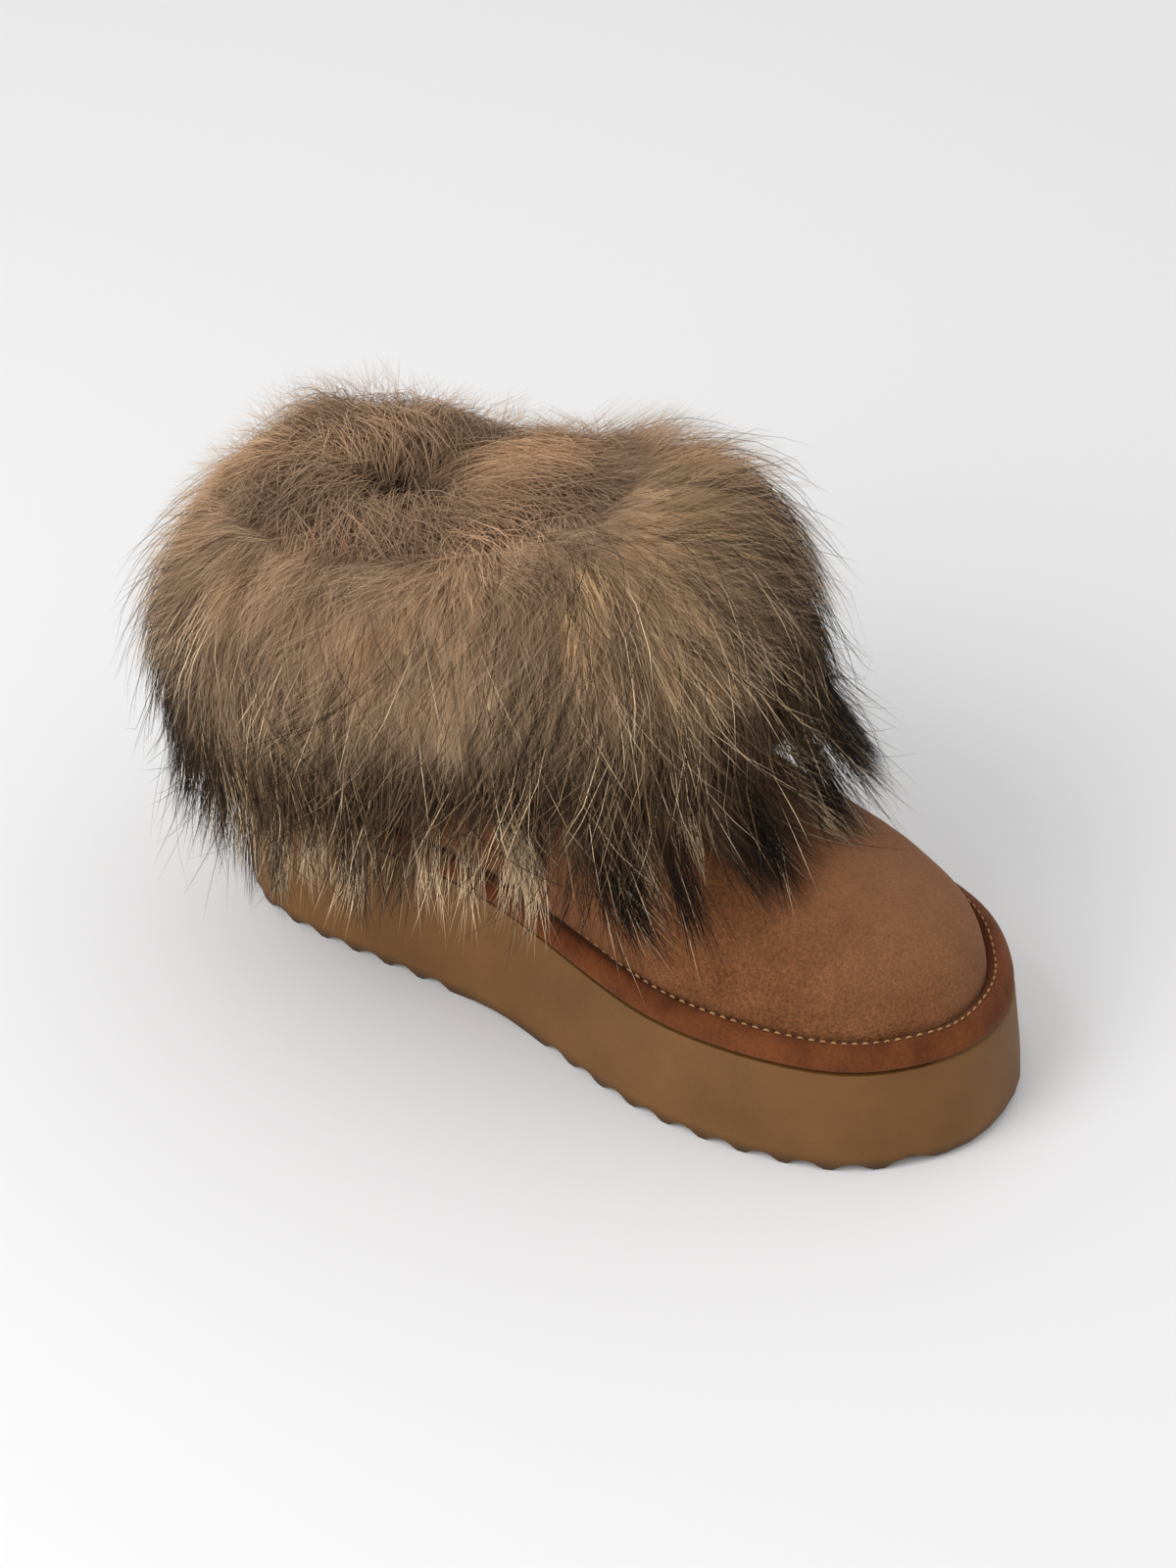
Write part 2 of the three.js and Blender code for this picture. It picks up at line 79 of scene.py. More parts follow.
def closed_curve(points):
    """A smooth closed curve through points, as even steps of its length, with outward directions."""
    p = np.array(points)
    t = np.linspace(0, len(p), CURVE_STEPS * 4, endpoint=False)
    i = np.floor(t).astype(int)
    u = (t - i)[:, None]
    a, b, c, d = [p[(i + k) % len(p)] for k in (-1, 0, 1, 2)]
    q = smooth_between(a, b, c, d, u)
    steps = np.linalg.norm(np.diff(q, axis=0, append=q[:1]), axis=1)
    length = np.concatenate([[0], np.cumsum(steps)])
    even = np.linspace(0, length[-1], CURVE_STEPS, endpoint=False)
    ring = np.vstack([q, q[:1]])
    places = np.stack([np.interp(even, length, ring[:, k]) for k in (0, 1)], axis=1)
    run = np.roll(places, -1, axis=0) - np.roll(places, 1, axis=0)
    run /= np.linalg.norm(run, axis=1)[:, None]
    return places, np.stack([-run[:, 1], run[:, 0]], axis=1)


def on_curve(curve, share):
    """Places and outward directions of a closed curve at shares of its length."""
    places, outwards = curve
    at = (np.asarray(share) % 1) * len(places)
    i = np.floor(at).astype(int) % len(places)
    j = (i + 1) % len(places)
    u = (at - np.floor(at))[..., None]
    return mix(places[i], places[j], u), mix(outwards[i], outwards[j], u)


row_y = [HEEL_SEAT_AT - along * SOLE_LENGTH for along, inner, outer in SOLE_ROWS]
outer_points = [(outer, y) for (along, inner, outer), y in zip(SOLE_ROWS, row_y)]
inner_points = [(-inner, y) for (along, inner, outer), y in zip(SOLE_ROWS, row_y)]
toe_tip = (-TOE_SHIFT, HEEL_SEAT_AT - SOLE_LENGTH)
foot_curve = closed_curve([(0, HEEL_SEAT_AT), *outer_points, toe_tip, *reversed(inner_points)])


def sole_top(y):
    """Height of the sole's top at a place along it."""
    share = ease(((HEEL_SEAT_AT - y) / SOLE_LENGTH - SLOPE_START) / SLOPE_RUN)
    return mix(HEEL_TOP, TOE_TOP, share)


def add_node(tree, kind, inputs=None, **settings):
    """A shader node, whose inputs are given as plain values or as other nodes' sockets."""
    made = tree.nodes.new(kind)
    for name, value in settings.items():
        setattr(made, name, value)
    for name, value in (inputs or {}).items():
        if isinstance(value, bpy.types.NodeSocket):
            tree.links.new(value, made.inputs[name])
        else:
            made.inputs[name].default_value = value
    return made


def new_group(name, inputs, outputs):
    """An empty shader group with named sockets, its tree and the node that holds its inputs."""
    tree = bpy.data.node_groups.new(name, "ShaderNodeTree")
    for label, kind, value in inputs:
        socket = tree.interface.new_socket(label, in_out="INPUT", socket_type="NodeSocket" + kind)
        socket.default_value = value
    for label, kind in outputs:
        tree.interface.new_socket(label, in_out="OUTPUT", socket_type="NodeSocket" + kind)
    return tree, tree.nodes.new("NodeGroupInput")


def new_material(name, **constants):
    """A material with one Principled shader, whose plain numbers are set on the shader's sockets."""
    material = bpy.data.materials.new(name)
    material.use_nodes = True
    shader = material.node_tree.nodes["Principled BSDF"]
    for label, value in constants.items():
        shader.inputs[label.replace("_", " ")].default_value = value
    return material, material.node_tree, shader


def use_copy_of(node, name):
    """A merged copy of a CAD piece, as a new object at the origin that can be worked on."""
    bpy.ops.object.select_all(action="DESELECT")
    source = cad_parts[node]
    mesh = source.data.copy()
    mesh.transform(source.matrix_world)
    piece = bpy.data.objects.new(name, mesh)
    bpy.context.scene.collection.objects.link(piece)
    piece.select_set(True)
    bpy.context.view_layer.objects.active = piece
    bpy.ops.object.mode_set(mode="EDIT")
    bpy.ops.mesh.select_all(action="SELECT")
    bpy.ops.mesh.remove_doubles(threshold=0.00002)
    bpy.ops.mesh.tris_convert_to_quads(
        face_threshold=math.radians(50), shape_threshold=math.radians(60)
    )
    bpy.ops.object.mode_set(mode="OBJECT")
    return piece


def give(piece, material, node):
    """Puts the one material on a finished piece, and says what it replaces and rides on."""
    piece.data.materials.clear()
    piece.data.materials.append(material)
    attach(piece, "root")
    if node:
        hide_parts(node)


mottle, mottle_in = new_group(
    "mottled_skin",
    [
        ("Colour", "Color", (0.3, 0.2, 0.1, 1)),
        ("Shade", "Color", (0.2, 0.1, 0.05, 1)),
        ("Patch size", "Float", 0.02),
        ("Grain size", "Float", 0.0008),
        ("Grain contrast", "Float", 0.1),
        ("Grain depth", "Float", 0.0001),
        ("Roughness", "Float", 0.8),
    ],
    [("Colour", "Color"), ("Roughness", "Float"), ("Normal", "Vector")],
)
place = add_node(mottle, "ShaderNodeTexCoord").outputs["Object"]


def noise_at(tree, where, size, detail=3.0, roughness=0.55):
    """Noise whose blotches are about size metres across."""
    count = add_node(tree, "ShaderNodeMath", {0: 1.0, 1: size}, operation="DIVIDE")
    return add_node(
        tree,
        "ShaderNodeTexNoise",
        {"Vector": where, "Scale": count.outputs[0], "Detail": detail, "Roughness": roughness},
    ).outputs["Fac"]


patches = noise_at(mottle, place, mottle_in.outputs["Patch size"], detail=4.0)
grain = noise_at(mottle, place, mottle_in.outputs["Grain size"], detail=2.0, roughness=0.7)
spread = add_node(mottle, "ShaderNodeMapRange", {"Value": patches, "From Min": 0.3, "From Max": 0.68})
toned = add_node(
    mottle,
    "ShaderNodeMix",
    {6: mottle_in.outputs["Shade"], 7: mottle_in.outputs["Colour"], "Factor": spread.outputs[0]},
    data_type="RGBA",
)
speck = add_node(
    mottle,
    "ShaderNodeMapRange",
    {"Value": grain, "From Min": 0.3, "From Max": 0.7, "To Min": -1.0, "To Max": 1.0},
)
lit = add_node(
    mottle,
    "ShaderNodeMath",
    {0: speck.outputs[0], 1: mottle_in.outputs["Grain contrast"], 2: 1.0},
    operation="MULTIPLY_ADD",
)
grained = add_node(
    mottle, "ShaderNodeHueSaturation", {"Color": toned.outputs[2], "Value": lit.outputs[0]}
)
coarse = add_node(
    mottle,
    "ShaderNodeBump",
    {"Height": grain, "Distance": mottle_in.outputs["Grain depth"], "Strength": 1.0},
)
rough = add_node(mottle, "ShaderNodeMapRange", {"Value": grain, "To Min": -0.06, "To Max": 0.06})
rough_sum = add_node(
    mottle,
    "ShaderNodeMath",
    {0: mottle_in.outputs["Roughness"], 1: rough.outputs[0]},
    operation="ADD",
)
add_node(
    mottle,
    "NodeGroupOutput",
    {"Colour": grained.outputs[0], "Roughness": rough_sum.outputs[0], "Normal": coarse.outputs[0]},
)


def use_mottle(tree, shader, values):
    """A mottled skin with its own values, linked to the material's shader."""
    group = tree.nodes.new("ShaderNodeGroup")
    group.node_tree = mottle
    for label, value in values.items():
        group.inputs[label].default_value = value
    tree.links.new(group.outputs["Colour"], shader.inputs["Base Color"])
    tree.links.new(group.outputs["Roughness"], shader.inputs["Roughness"])
    tree.links.new(group.outputs["Normal"], shader.inputs["Normal"])
    return group


foam, foam_tree, foam_shader = new_material("caramel_foam", Specular_IOR_Level=0.35)
foam_skin = use_mottle(
    foam_tree,
    foam_shader,
    {
        "Colour": (0.158, 0.068, 0.0138, 1),
        "Shade": (0.116, 0.049, 0.01, 1),
        "Patch size": 0.03,
        "Grain size": 0.0011,
        "Grain contrast": 0.05,
        "Grain depth": 0.00008,
        "Roughness": 0.62,
    },
)
foam_place = add_node(foam_tree, "ShaderNodeTexCoord").outputs["Object"]
foam_height = add_node(foam_tree, "ShaderNodeSeparateXYZ", {"Vector": foam_place}).outputs["Z"]
# Painted shade: the foam is painted darker in its lowest 5 mm, down to a fifth of its colour at the
# floor.
foam_low_shade = add_node(
    foam_tree,
    "ShaderNodeMapRange",
    {"Value": foam_height, "From Max": 0.005, "To Min": 0.2, "To Max": 1.0},
)
foam_shaded_low = add_node(
    foam_tree,
    "ShaderNodeHueSaturation",
    {"Color": foam_skin.outputs["Colour"], "Value": foam_low_shade.outputs[0]},
)
foam_tree.links.new(foam_shaded_low.outputs[0], foam_shader.inputs["Base Color"])

sole = use_copy_of("sole", "moulded_sole")
bpy.ops.object.shade_smooth_by_angle(angle=math.radians(32))
give(sole, foam, "sole")

# The footbed: a thin foam insole covered in short cream wool, a little dished where the foot lies. It
# is cut to the inside of the boot and dropped into the finished upper.
wool, wool_tree, wool_shader = new_material("short_wool", Sheen_Weight=0.3)
use_mottle(
    wool_tree,
    wool_shader,
    {
        "Colour": (0.56, 0.45, 0.31, 1),
        "Shade": (0.4, 0.3, 0.19, 1),
        "Patch size": 0.006,
        "Grain size": 0.0016,
        "Grain contrast": 0.2,
        "Grain depth": 0.001,
        "Roughness": 0.95,
    },
)

footbed = use_copy_of("footbed", "wool_footbed")
bpy.ops.object.shade_smooth_by_angle(angle=math.radians(50))
give(footbed, wool, "footbed")

# The upper: one wall of sheepskin, suede side out, closed round the foot and sewn to the rand. The suede
# is greyer and lighter over the top of the toe, and the vamp has a few soft dents where it was lasted.
UPPER_DENTS = [  # place, reach along x, y and z, and depth, in metres
    ((-0.012, -0.188, 0.066), (0.02, 0.012, 0.03), 0.0009),
    ((0.018, -0.150, 0.078), (0.012, 0.024, 0.03), 0.0008),
    ((-0.024, -0.146, 0.076), (0.008, 0.02, 0.03), -0.0009),
    ((-0.036, -0.120, 0.07), (0.012, 0.03, 0.012), 0.0012),
    ((0.0, -0.168, 0.076), (0.03, 0.006, 0.03), 0.0005),
    ((0.036, -0.172, 0.055), (0.01, 0.012, 0.02), 0.0008),
    ((-0.042, -0.150, 0.052), (0.01, 0.01, 0.012), 0.001),
    ((-0.030, -0.092, 0.09), (0.03, 0.006, 0.02), 0.0016),
    ((0.030, -0.092, 0.09), (0.03, 0.006, 0.02), 0.0016),
]
PALE_TOE_AT = (0.004, -0.178, 0.075)
PALE_TOE_REACH = 0.045
PALE_TOE_COLOUR = (0.22, 0.105, 0.052, 1)


def soften(piece, levels, dents):
    """Rounds a lofted piece, and presses soft dents into it, or raises it where a depth is negative."""
    smooth = piece.modifiers.new("rounded", "SUBSURF")
    smooth.levels = smooth.render_levels = levels
    bpy.ops.object.modifier_apply(modifier=smooth.name)
    mesh = piece.data
    at = np.empty(len(mesh.vertices) * 3)
    mesh.vertices.foreach_get("co", at)
    at = at.reshape(-1, 3)
    facing = np.empty(len(mesh.vertices) * 3)
    mesh.vertex_normals.foreach_get("vector", facing)
    facing = facing.reshape(-1, 3)
    press = np.zeros(len(at))
    for centre, reach, depth in dents:
        press += depth * np.exp(-np.sum(((at - centre) / reach) ** 2, axis=1))
    at -= facing * press[:, None]
    mesh.vertices.foreach_set("co", at.ravel())
    bpy.ops.object.shade_smooth()


suede, suede_tree, suede_shader = new_material(
    "tan_suede",
    Sheen_Weight=0.14,
    Sheen_Roughness=0.5,
    Sheen_Tint=(0.9, 0.6, 0.4, 1),
    Specular_IOR_Level=0.12,
)
suede_skin = use_mottle(
    suede_tree,
    suede_shader,
    {
        "Colour": (0.195, 0.076, 0.03, 1),
        "Shade": (0.13, 0.047, 0.017, 1),
        "Patch size": 0.014,
        "Grain size": 0.001,
        "Grain contrast": 0.42,
        "Grain depth": 0.0006,
        "Roughness": 0.92,
    },
)
suede_place = add_node(suede_tree, "ShaderNodeTexCoord").outputs["Object"]
# The suede is mixed towards a greyer, lighter colour round a place on the top of the toe.
pale_toe_distance = add_node(
    suede_tree, "ShaderNodeVectorMath", {0: suede_place, 1: PALE_TOE_AT}, operation="DISTANCE"
)
pale_toe_edge = noise_at(suede_tree, suede_place, 0.03)
pale_toe_sum = add_node(
    suede_tree,
    "ShaderNodeMath",
    {0: pale_toe_edge, 1: -0.03, 2: pale_toe_distance.outputs["Value"]},
    operation="MULTIPLY_ADD",
)
pale_toe_mask = add_node(
    suede_tree,
    "ShaderNodeMapRange",
    {"Value": pale_toe_sum.outputs[0], "From Max": PALE_TOE_REACH, "To Min": 0.5, "To Max": 0.0},
)
suede_toned = add_node(
    suede_tree,
    "ShaderNodeMix",
    {6: suede_skin.outputs["Colour"], 7: PALE_TOE_COLOUR, "Factor": pale_toe_mask.outputs[0]},
    data_type="RGBA",
)
suede_tree.links.new(suede_toned.outputs[2], suede_shader.inputs["Base Color"])

upper = use_copy_of("upper", "suede_upper")
soften(upper, 1, UPPER_DENTS)
give(upper, suede, "upper")

# The rand: a folded strip of rust-brown suede round the edge of the sole, sewn down near the upper
# with thick golden thread, which puckers it a little between the stitches.
RAND_FOOT = 0.002
RAND_WIDTH = 0.008
RAND_HEIGHT = 0.007
SEAM_REACH = 0.0013  # the rand's edge lies on the upper where it comes this near
SEAM_SUNK = 0.00015
STITCHES = 176
STITCH_RUN = 0.6  # share of the pitch that the thread shows
STITCH_IN = 0.76  # shares of the rand's width inwards and of its height up
STITCH_UP = 1.08
STITCH_RADIUS = 0.0004
STITCH_SIDES = 6
STITCH_ROWS = [  # run along the stitch, girth, and rise out of the suede in radii
    (0.0, 0.1, -0.9),
    (0.14, 0.75, -0.1),
    (0.5, 1.0, 0.3),
    (0.86, 0.75, -0.1),
    (1.0, 0.1, -0.9),
]

rust, rust_tree, rust_shader = new_material(
    "rust_suede",
    Sheen_Weight=0.12,
    Sheen_Roughness=0.5,
    Sheen_Tint=(0.9, 0.55, 0.35, 1),
    Specular_IOR_Level=0.15,
)
use_mottle(
    rust_tree,
    rust_shader,
    {
        "Colour": (0.146, 0.041, 0.0112, 1),
        "Shade": (0.076, 0.0195, 0.006, 1),
        "Patch size": 0.012,
        "Grain size": 0.001,
        "Grain contrast": 0.2,
        "Grain depth": 0.0004,
        "Roughness": 0.85,
    },
)


def form_of(piece):
    """The piece's surface, for finding the nearest place on it and where a ray meets it."""
    corners = np.empty(len(piece.data.vertices) * 3)
    piece.data.vertices.foreach_get("co", corners)
    polygons = [tuple(polygon.vertices) for polygon in piece.data.polygons]
    return BVHTree.FromPolygons(corners.reshape(-1, 3).tolist(), polygons)


rand = use_copy_of("rand", "bound_rand")
soften(rand, 2, [])
upper_form = form_of(upper)
for vertex in rand.data.vertices:
    place_on, facing, face_number, away = upper_form.find_nearest(vertex.co)
    if away < SEAM_REACH:
        vertex.co = place_on - facing * SEAM_SUNK
give(rand, rust, "rand")


def rand_line(shares, in_share, up_share):
    """Places on the rand: a share of its width inwards, and of its height up from the sole."""
    places, outwards = on_curve(foot_curve, shares)
    flat = places - outwards * (RAND_FOOT + RAND_WIDTH * in_share)
    height = sole_top(places[:, 1]) + RAND_HEIGHT * up_share
    return np.concatenate([flat, height[:, None]], axis=1)


thread, thread_tree, thread_shader = new_material("gold_thread", Specular_IOR_Level=0.4)
use_mottle(
    thread_tree,
    thread_shader,
    {
        "Colour": (0.4, 0.21, 0.085, 1),
        "Shade": (0.24, 0.115, 0.04, 1),
        "Patch size": 0.006,
        "Grain size": 0.0003,
        "Grain contrast": 0.1,
        "Grain depth": 0.0001,
        "Roughness": 0.6,
    },
)


def join_parts(name, part_at, part_faces):
    """One mesh from many like parts: part_at holds their points, part by part."""
    parts, points = part_at.shape[:2]
    corners = np.concatenate([np.array(face) for face in part_faces])
    sizes = np.array([len(face) for face in part_faces])
    loops = (corners[None, :] + np.arange(parts)[:, None] * points).ravel()
    totals = np.tile(sizes, parts)
    mesh = bpy.data.meshes.new(name)
    mesh.vertices.add(parts * points)
    mesh.vertices.foreach_set("co", part_at.ravel())
    mesh.loops.add(len(loops))
    mesh.loops.foreach_set("vertex_index", loops)
    mesh.polygons.add(len(totals))
    mesh.polygons.foreach_set("loop_start", np.concatenate([[0], np.cumsum(totals)[:-1]]))
    mesh.polygons.foreach_set("loop_total", totals)
    mesh.polygons.foreach_set("use_smooth", np.ones(len(totals), dtype=bool))
    mesh.update(calc_edges=True)
    piece = bpy.data.objects.new(name, mesh)
    bpy.context.scene.collection.objects.link(piece)
    return piece


def unit(vectors):
    """The directions of vectors, each one metre long."""
    return vectors / np.maximum(np.linalg.norm(vectors, axis=-1), 1e-9)[..., None]


stitch_start = np.arange(STITCHES) / STITCHES
seam_ahead = rand_line(stitch_start + 0.001, STITCH_IN, STITCH_UP)
seam_behind = rand_line(stitch_start - 0.001, STITCH_IN, STITCH_UP)
ahead = unit(seam_ahead - seam_behind)
across = unit(np.cross(ahead, (0, 0, 1)))
upright = np.cross(across, ahead)
stitch_points = []
for run, girth, rise in STITCH_ROWS:
    middle = rand_line(stitch_start + run * STITCH_RUN / STITCHES, STITCH_IN, STITCH_UP)
    for k in range(STITCH_SIDES):
        turn = 2 * math.pi * k / STITCH_SIDES
        sideways = across * math.cos(turn) * girth
        upwards = upright * (math.sin(turn) * girth + rise)
        stitch_points.append(middle + (sideways + upwards) * STITCH_RADIUS)
stitch_faces = []
last_row = (len(STITCH_ROWS) - 1) * STITCH_SIDES
for row in range(0, last_row, STITCH_SIDES):
    for k in range(STITCH_SIDES):
        a, b = row + k, row + (k + 1) % STITCH_SIDES
        stitch_faces.append((a, b, b + STITCH_SIDES, a + STITCH_SIDES))
stitch_faces.append(tuple(range(STITCH_SIDES - 1, -1, -1)))
stitch_faces.append(tuple(range(last_row, last_row + STITCH_SIDES)))
stitches = join_parts("rand_stitches", np.stack(stitch_points, axis=1), stitch_faces)
give(stitches, thread, None)

# The fur collar: a band of long-haired pelt, sewn round the leg opening and combed outwards, so that
# it hangs over the vamp, rand and sole. The skin comes first, with its dense underfur, whose soft
# locks lie over each other like shingles. It shows through the longer hair.
COLLAR_LENGTH = 0.120
COLLAR_WIDTH = 0.088
COLLAR_Y = HEEL_SEAT_AT - 0.074
RIM_HEIGHT = 0.150
RIM_TILT = 0.0035
DEPTH_HEEL = 0.027
DEPTH_SIDE = 0.029
DEPTH_TOE = 0.062
CROWN_HEEL = 0.007  # fur above the rim at the heel and sides, and at the toe
CROWN_TOE = 0.018
HEM_HEEL = 0.066  # floor to the fur's underside, at the same places
HEM_TOE = 0.099
OVAL_STEPS = 36
OVAL_POWER = 0.92
FUR_POWER = 0.65
TOE_BLEND_START = 0.34  # shares of the sole's length where the heel's form starts to turn into the toe's
TOE_BLEND_RUN = 0.56
FUR_ROWS = [  # up, out, out over the instep: from the underside to the crown
    (0.05, 0.36, 0.66),
    (0.01, 0.7, 0.93),
    (0.14, 0.93, 1.02),
    (0.38, 1.0, 0.98),
    (0.63, 0.92, 0.86),
    (0.83, 0.68, 0.67),
    (0.95, 0.38, 0.4),
    (1.0, 0.08, 0.1),
]
CROWN_ROWS = [  # share round from the heel, rise of the crown, fullness of the shoulder
    (0.0, 0.003, 0.0),
    (0.07, 0.008, 0.08),
    (0.15, 0.002, 0.0),
    (0.27, -0.009, 0.0),
    (0.36, -0.003, 0.18),
    (0.43, 0.003, 0.3),
    (0.5, 0.002, 0.15),
    (0.6, -0.001, 0.0),
    (0.8, -0.002, 0.0),
]
TOP_ROW = len(FUR_ROWS) - 1
HEM_ROW = 1.6
GUIDES = 240
GUIDE_STEP = 0.001
GUIDE_LENGTH = 180
GUIDE_SMOOTHING = 24
FACE_STEPS = 60
HANG_STEPS = 30
HANG_STEP = 0.004
ROUND = 0.42  # metres round the coat
LOCK_WIDTH = 0.0065
COAT_LOCKS = 620
PELT_ROUND = 400
PELT_DOWN = 84
PELT_SUNK = 0.0068
PELT_RELIEF = 0.0046
PELT_UNDER = (0.2, 0.7, 1.2)  # places on the underside, counted in rows of the fur
LIP_ROWS = [  # inwards from the rim, and up from it
    (0.003, 0.0042),
    (0.009, 0.0035),
    (0.014, 0.0005),
    (0.014, -0.004),
    (0.007, -0.005),
    (-0.0006, 0.001),
]
TAUPE = (0.37, 0.218, 0.126)
GREY_BEIGE = (0.56, 0.39, 0.25)
GOLDEN = (0.44, 0.3, 0.165)
CREAM = (1.0, 0.76, 0.5)
DARK_BROWN = (0.04, 0.019, 0.009)
BLACK = (0.008, 0.006, 0.005)

rng = np.random.default_rng(11)
collar_turns = np.arange(OVAL_STEPS) * 2 * math.pi / OVAL_STEPS


def drawn(value, power):
    """A power that keeps the sign, which draws an oval out towards its corners."""
    return np.sign(value) * np.abs(value) ** power


collar_curve = closed_curve(
    np.stack(
        [
            COLLAR_WIDTH / 2 * drawn(np.sin(collar_turns), OVAL_POWER),
            COLLAR_Y + COLLAR_LENGTH / 2 * drawn(np.cos(collar_turns), OVAL_POWER),
        ],
        axis=1,
    )
)


def toe_share(share):
    """How far towards the toe a share of the way round lies, from 0 to 1."""
    places, outwards = on_curve(foot_curve, share)
    along = (HEEL_SEAT_AT - places[..., 1]) / SOLE_LENGTH
    return ease((along - TOE_BLEND_START) / TOE_BLEND_RUN)


def crown_row(column, share):
    """A column of the crown's rows at a share of the way round."""
    shares = [row[0] for row in CROWN_ROWS]
    return np.interp(share, shares, [row[column] for row in CROWN_ROWS], period=1)


def rim_height(y):
    """Height of the leg opening's rim at a place along the boot."""
    return RIM_HEIGHT + RIM_TILT * (COLLAR_Y - y) / (COLLAR_LENGTH / 2)


def row_value(column, place):
    """A column of the fur's rows, read smoothly at a place counted in rows."""
    values = np.array([row[column] for row in FUR_ROWS])
    at = np.clip(place, 0, TOP_ROW)
    i = np.minimum(np.floor(at).astype(int), TOP_ROW - 1)
    u = at - i
    a, b, c, d = [values[np.clip(i + k, 0, TOP_ROW)] for k in (-1, 0, 1, 2)]
    return smooth_between(a, b, c, d, u)


def fur_point(share, place):
    """The fur's outer form: a share of the way round the collar, and a place in rows."""
    toe = toe_share(share)
    out = mix(row_value(1, place), row_value(2, place), toe)
    places, outwards = on_curve(collar_curve, share)
    way = drawn(outwards, FUR_POWER)
    x = places[..., 0] + out * DEPTH_SIDE * way[..., 0]
    y = places[..., 1] + out * np.where(way[..., 1] < 0, DEPTH_TOE, DEPTH_HEEL) * way[..., 1]
    crown = rim_height(y) + mix(CROWN_HEEL, CROWN_TOE, toe) + crown_row(1, share)
    up = row_value(0, place)
    up = up + crown_row(2, share) * 4 * np.clip(up, 0, 1) ** 3 * (1 - up)
    return np.stack([x, y, mix(mix(HEM_HEEL, HEM_TOE, toe), crown, up)], axis=-1)


guide_share = np.arange(GUIDES) / GUIDES
guide_toe = toe_share(guide_share)
face = fur_point(guide_share[:, None], np.linspace(TOP_ROW, HEM_ROW, FACE_STEPS)[None, :])
guide_out = on_curve(collar_curve, guide_share)[1]
flow = unit(mix(guide_out, np.array([0.0, -1.0]), guide_toe[:, None] * 0.5))
forwards = flow * mix(0.05, 0.5, guide_toe)[:, None]
downwards = -mix(1.0, 0.8, guide_toe)[:, None]
hang_way = unit(np.concatenate([forwards, downwards], axis=1))
below = face[:, -1:, :] + hang_way[:, None, :] * (np.arange(1, HANG_STEPS) * HANG_STEP)[None, :, None]
rough_guide = np.concatenate([face, below], axis=1)
guide = np.empty((GUIDES, GUIDE_LENGTH, 3))
for i in range(GUIDES):
    run = np.concatenate([[0], np.cumsum(np.linalg.norm(np.diff(rough_guide[i], axis=0), axis=1))])
    for k in range(3):
        guide[i, :, k] = np.interp(np.arange(GUIDE_LENGTH) * GUIDE_STEP, run, rough_guide[i, :, k])
face_length = np.array([np.linalg.norm(np.diff(face[i], axis=0), axis=1).sum() for i in range(GUIDES)])
for _ in range(GUIDE_SMOOTHING):
    guide[:, 1:-1] = (guide[:, :-2] + 2 * guide[:, 1:-1] + guide[:, 2:]) / 4
guide_along = np.gradient(guide, axis=1)
guide_round = np.roll(guide, -1, axis=0) - np.roll(guide, 1, axis=0)
guide_normal = unit(np.cross(guide_round, guide_along))


def face_at(share):
    """Length of the coat's face from the crown to the hem."""
    return np.interp(share, guide_share, face_length, period=1)


def on_coat(share, run):
    """Places and outward directions of the combed coat, run metres down from the crown."""
    at = (share % 1) * GUIDES
    i = np.floor(at).astype(int) % GUIDES
    j = (i + 1) % GUIDES
    u = (at - np.floor(at))[..., None]
    down = np.clip(run / GUIDE_STEP, 0, GUIDE_LENGTH - 1.001)
    m = np.floor(down).astype(int)
    v = (down - m)[..., None]

    def read(table):
        return mix(mix(table[i, m], table[j, m], u), mix(table[i, m + 1], table[j, m + 1], u), v)

    return read(guide), unit(read(guide_normal))


def new_locks(count, start, length, drift, hang):
    """Locks spread evenly over the coat: their starts, lengths, sways, lifts, tones and lowest ends."""
    k = np.arange(count)
    share = (k * 0.618034 + rng.normal(0, 0.004, count)) % 1
    wide_sway = 0.005 * np.sin(2 * math.pi * (3 * share + 0.35))
    sway = wide_sway + 0.003 * np.sin(2 * math.pi * (7 * share + 0.1))
    return {
        "share": share,
        "start": mix(start[0], start[1], (k + 0.5) / count),
        "length": rng.uniform(*length, count),
        "drift": sway + rng.normal(0, drift, count),
        "lift": rng.normal(0, 0.0018, count),
        "tone": np.clip(rng.normal(0, 1, count), -1.6, 1.6),
        "hang": np.full(count, hang),
    }


def lay_locks(locks, share, run):
    """Height from 0 to 1, and tone, of the lock that lies uppermost at places on the coat."""
    height = np.zeros(run.shape)
    tone = np.zeros(run.shape)
    length = face_at(share)[:, None]
    for k in range(len(locks["share"])):
        off = (share - locks["share"][k] + 0.5) % 1 - 0.5
        near = np.abs(off) < 0.07
        along = (run[near] - locks["start"][k] * length[near]) / locks["length"][k]
        s = np.clip(along, 0, 1)
        width = LOCK_WIDTH * (1 - 0.75 * s**2)
        across = (off[near, None] * ROUND - locks["drift"][k] * s**1.6) / width
        rise = np.where((along > 0) & (along < 1), np.exp(-(across**2)) * s**0.6, 0)
        over = rise > height[near]
        height[near] = np.where(over, rise, height[near])
        tone[near] = np.where(over, locks["tone"][k], tone[near])
    return height, tone


def band(share, centre, width):
    """1 near a share of the way round, and 0 away from it."""
    off = np.abs((share - centre + 0.5) % 1 - 0.5)
    return np.exp(-((off / width) ** 2))


def patchy(at, size, seed):
    """A smooth random field over places, with a spread of about 1 and patches of about a size."""
    random = np.random.default_rng(seed)
    total = np.zeros(at.shape[:-1])
    for _ in range(8):
        wave = unit(random.normal(0, 1, 3)) * 2 * math.pi / (size * random.uniform(1.2, 3.0))
        total += np.sin(at @ wave + random.uniform(0, 2 * math.pi))
    return total / 2


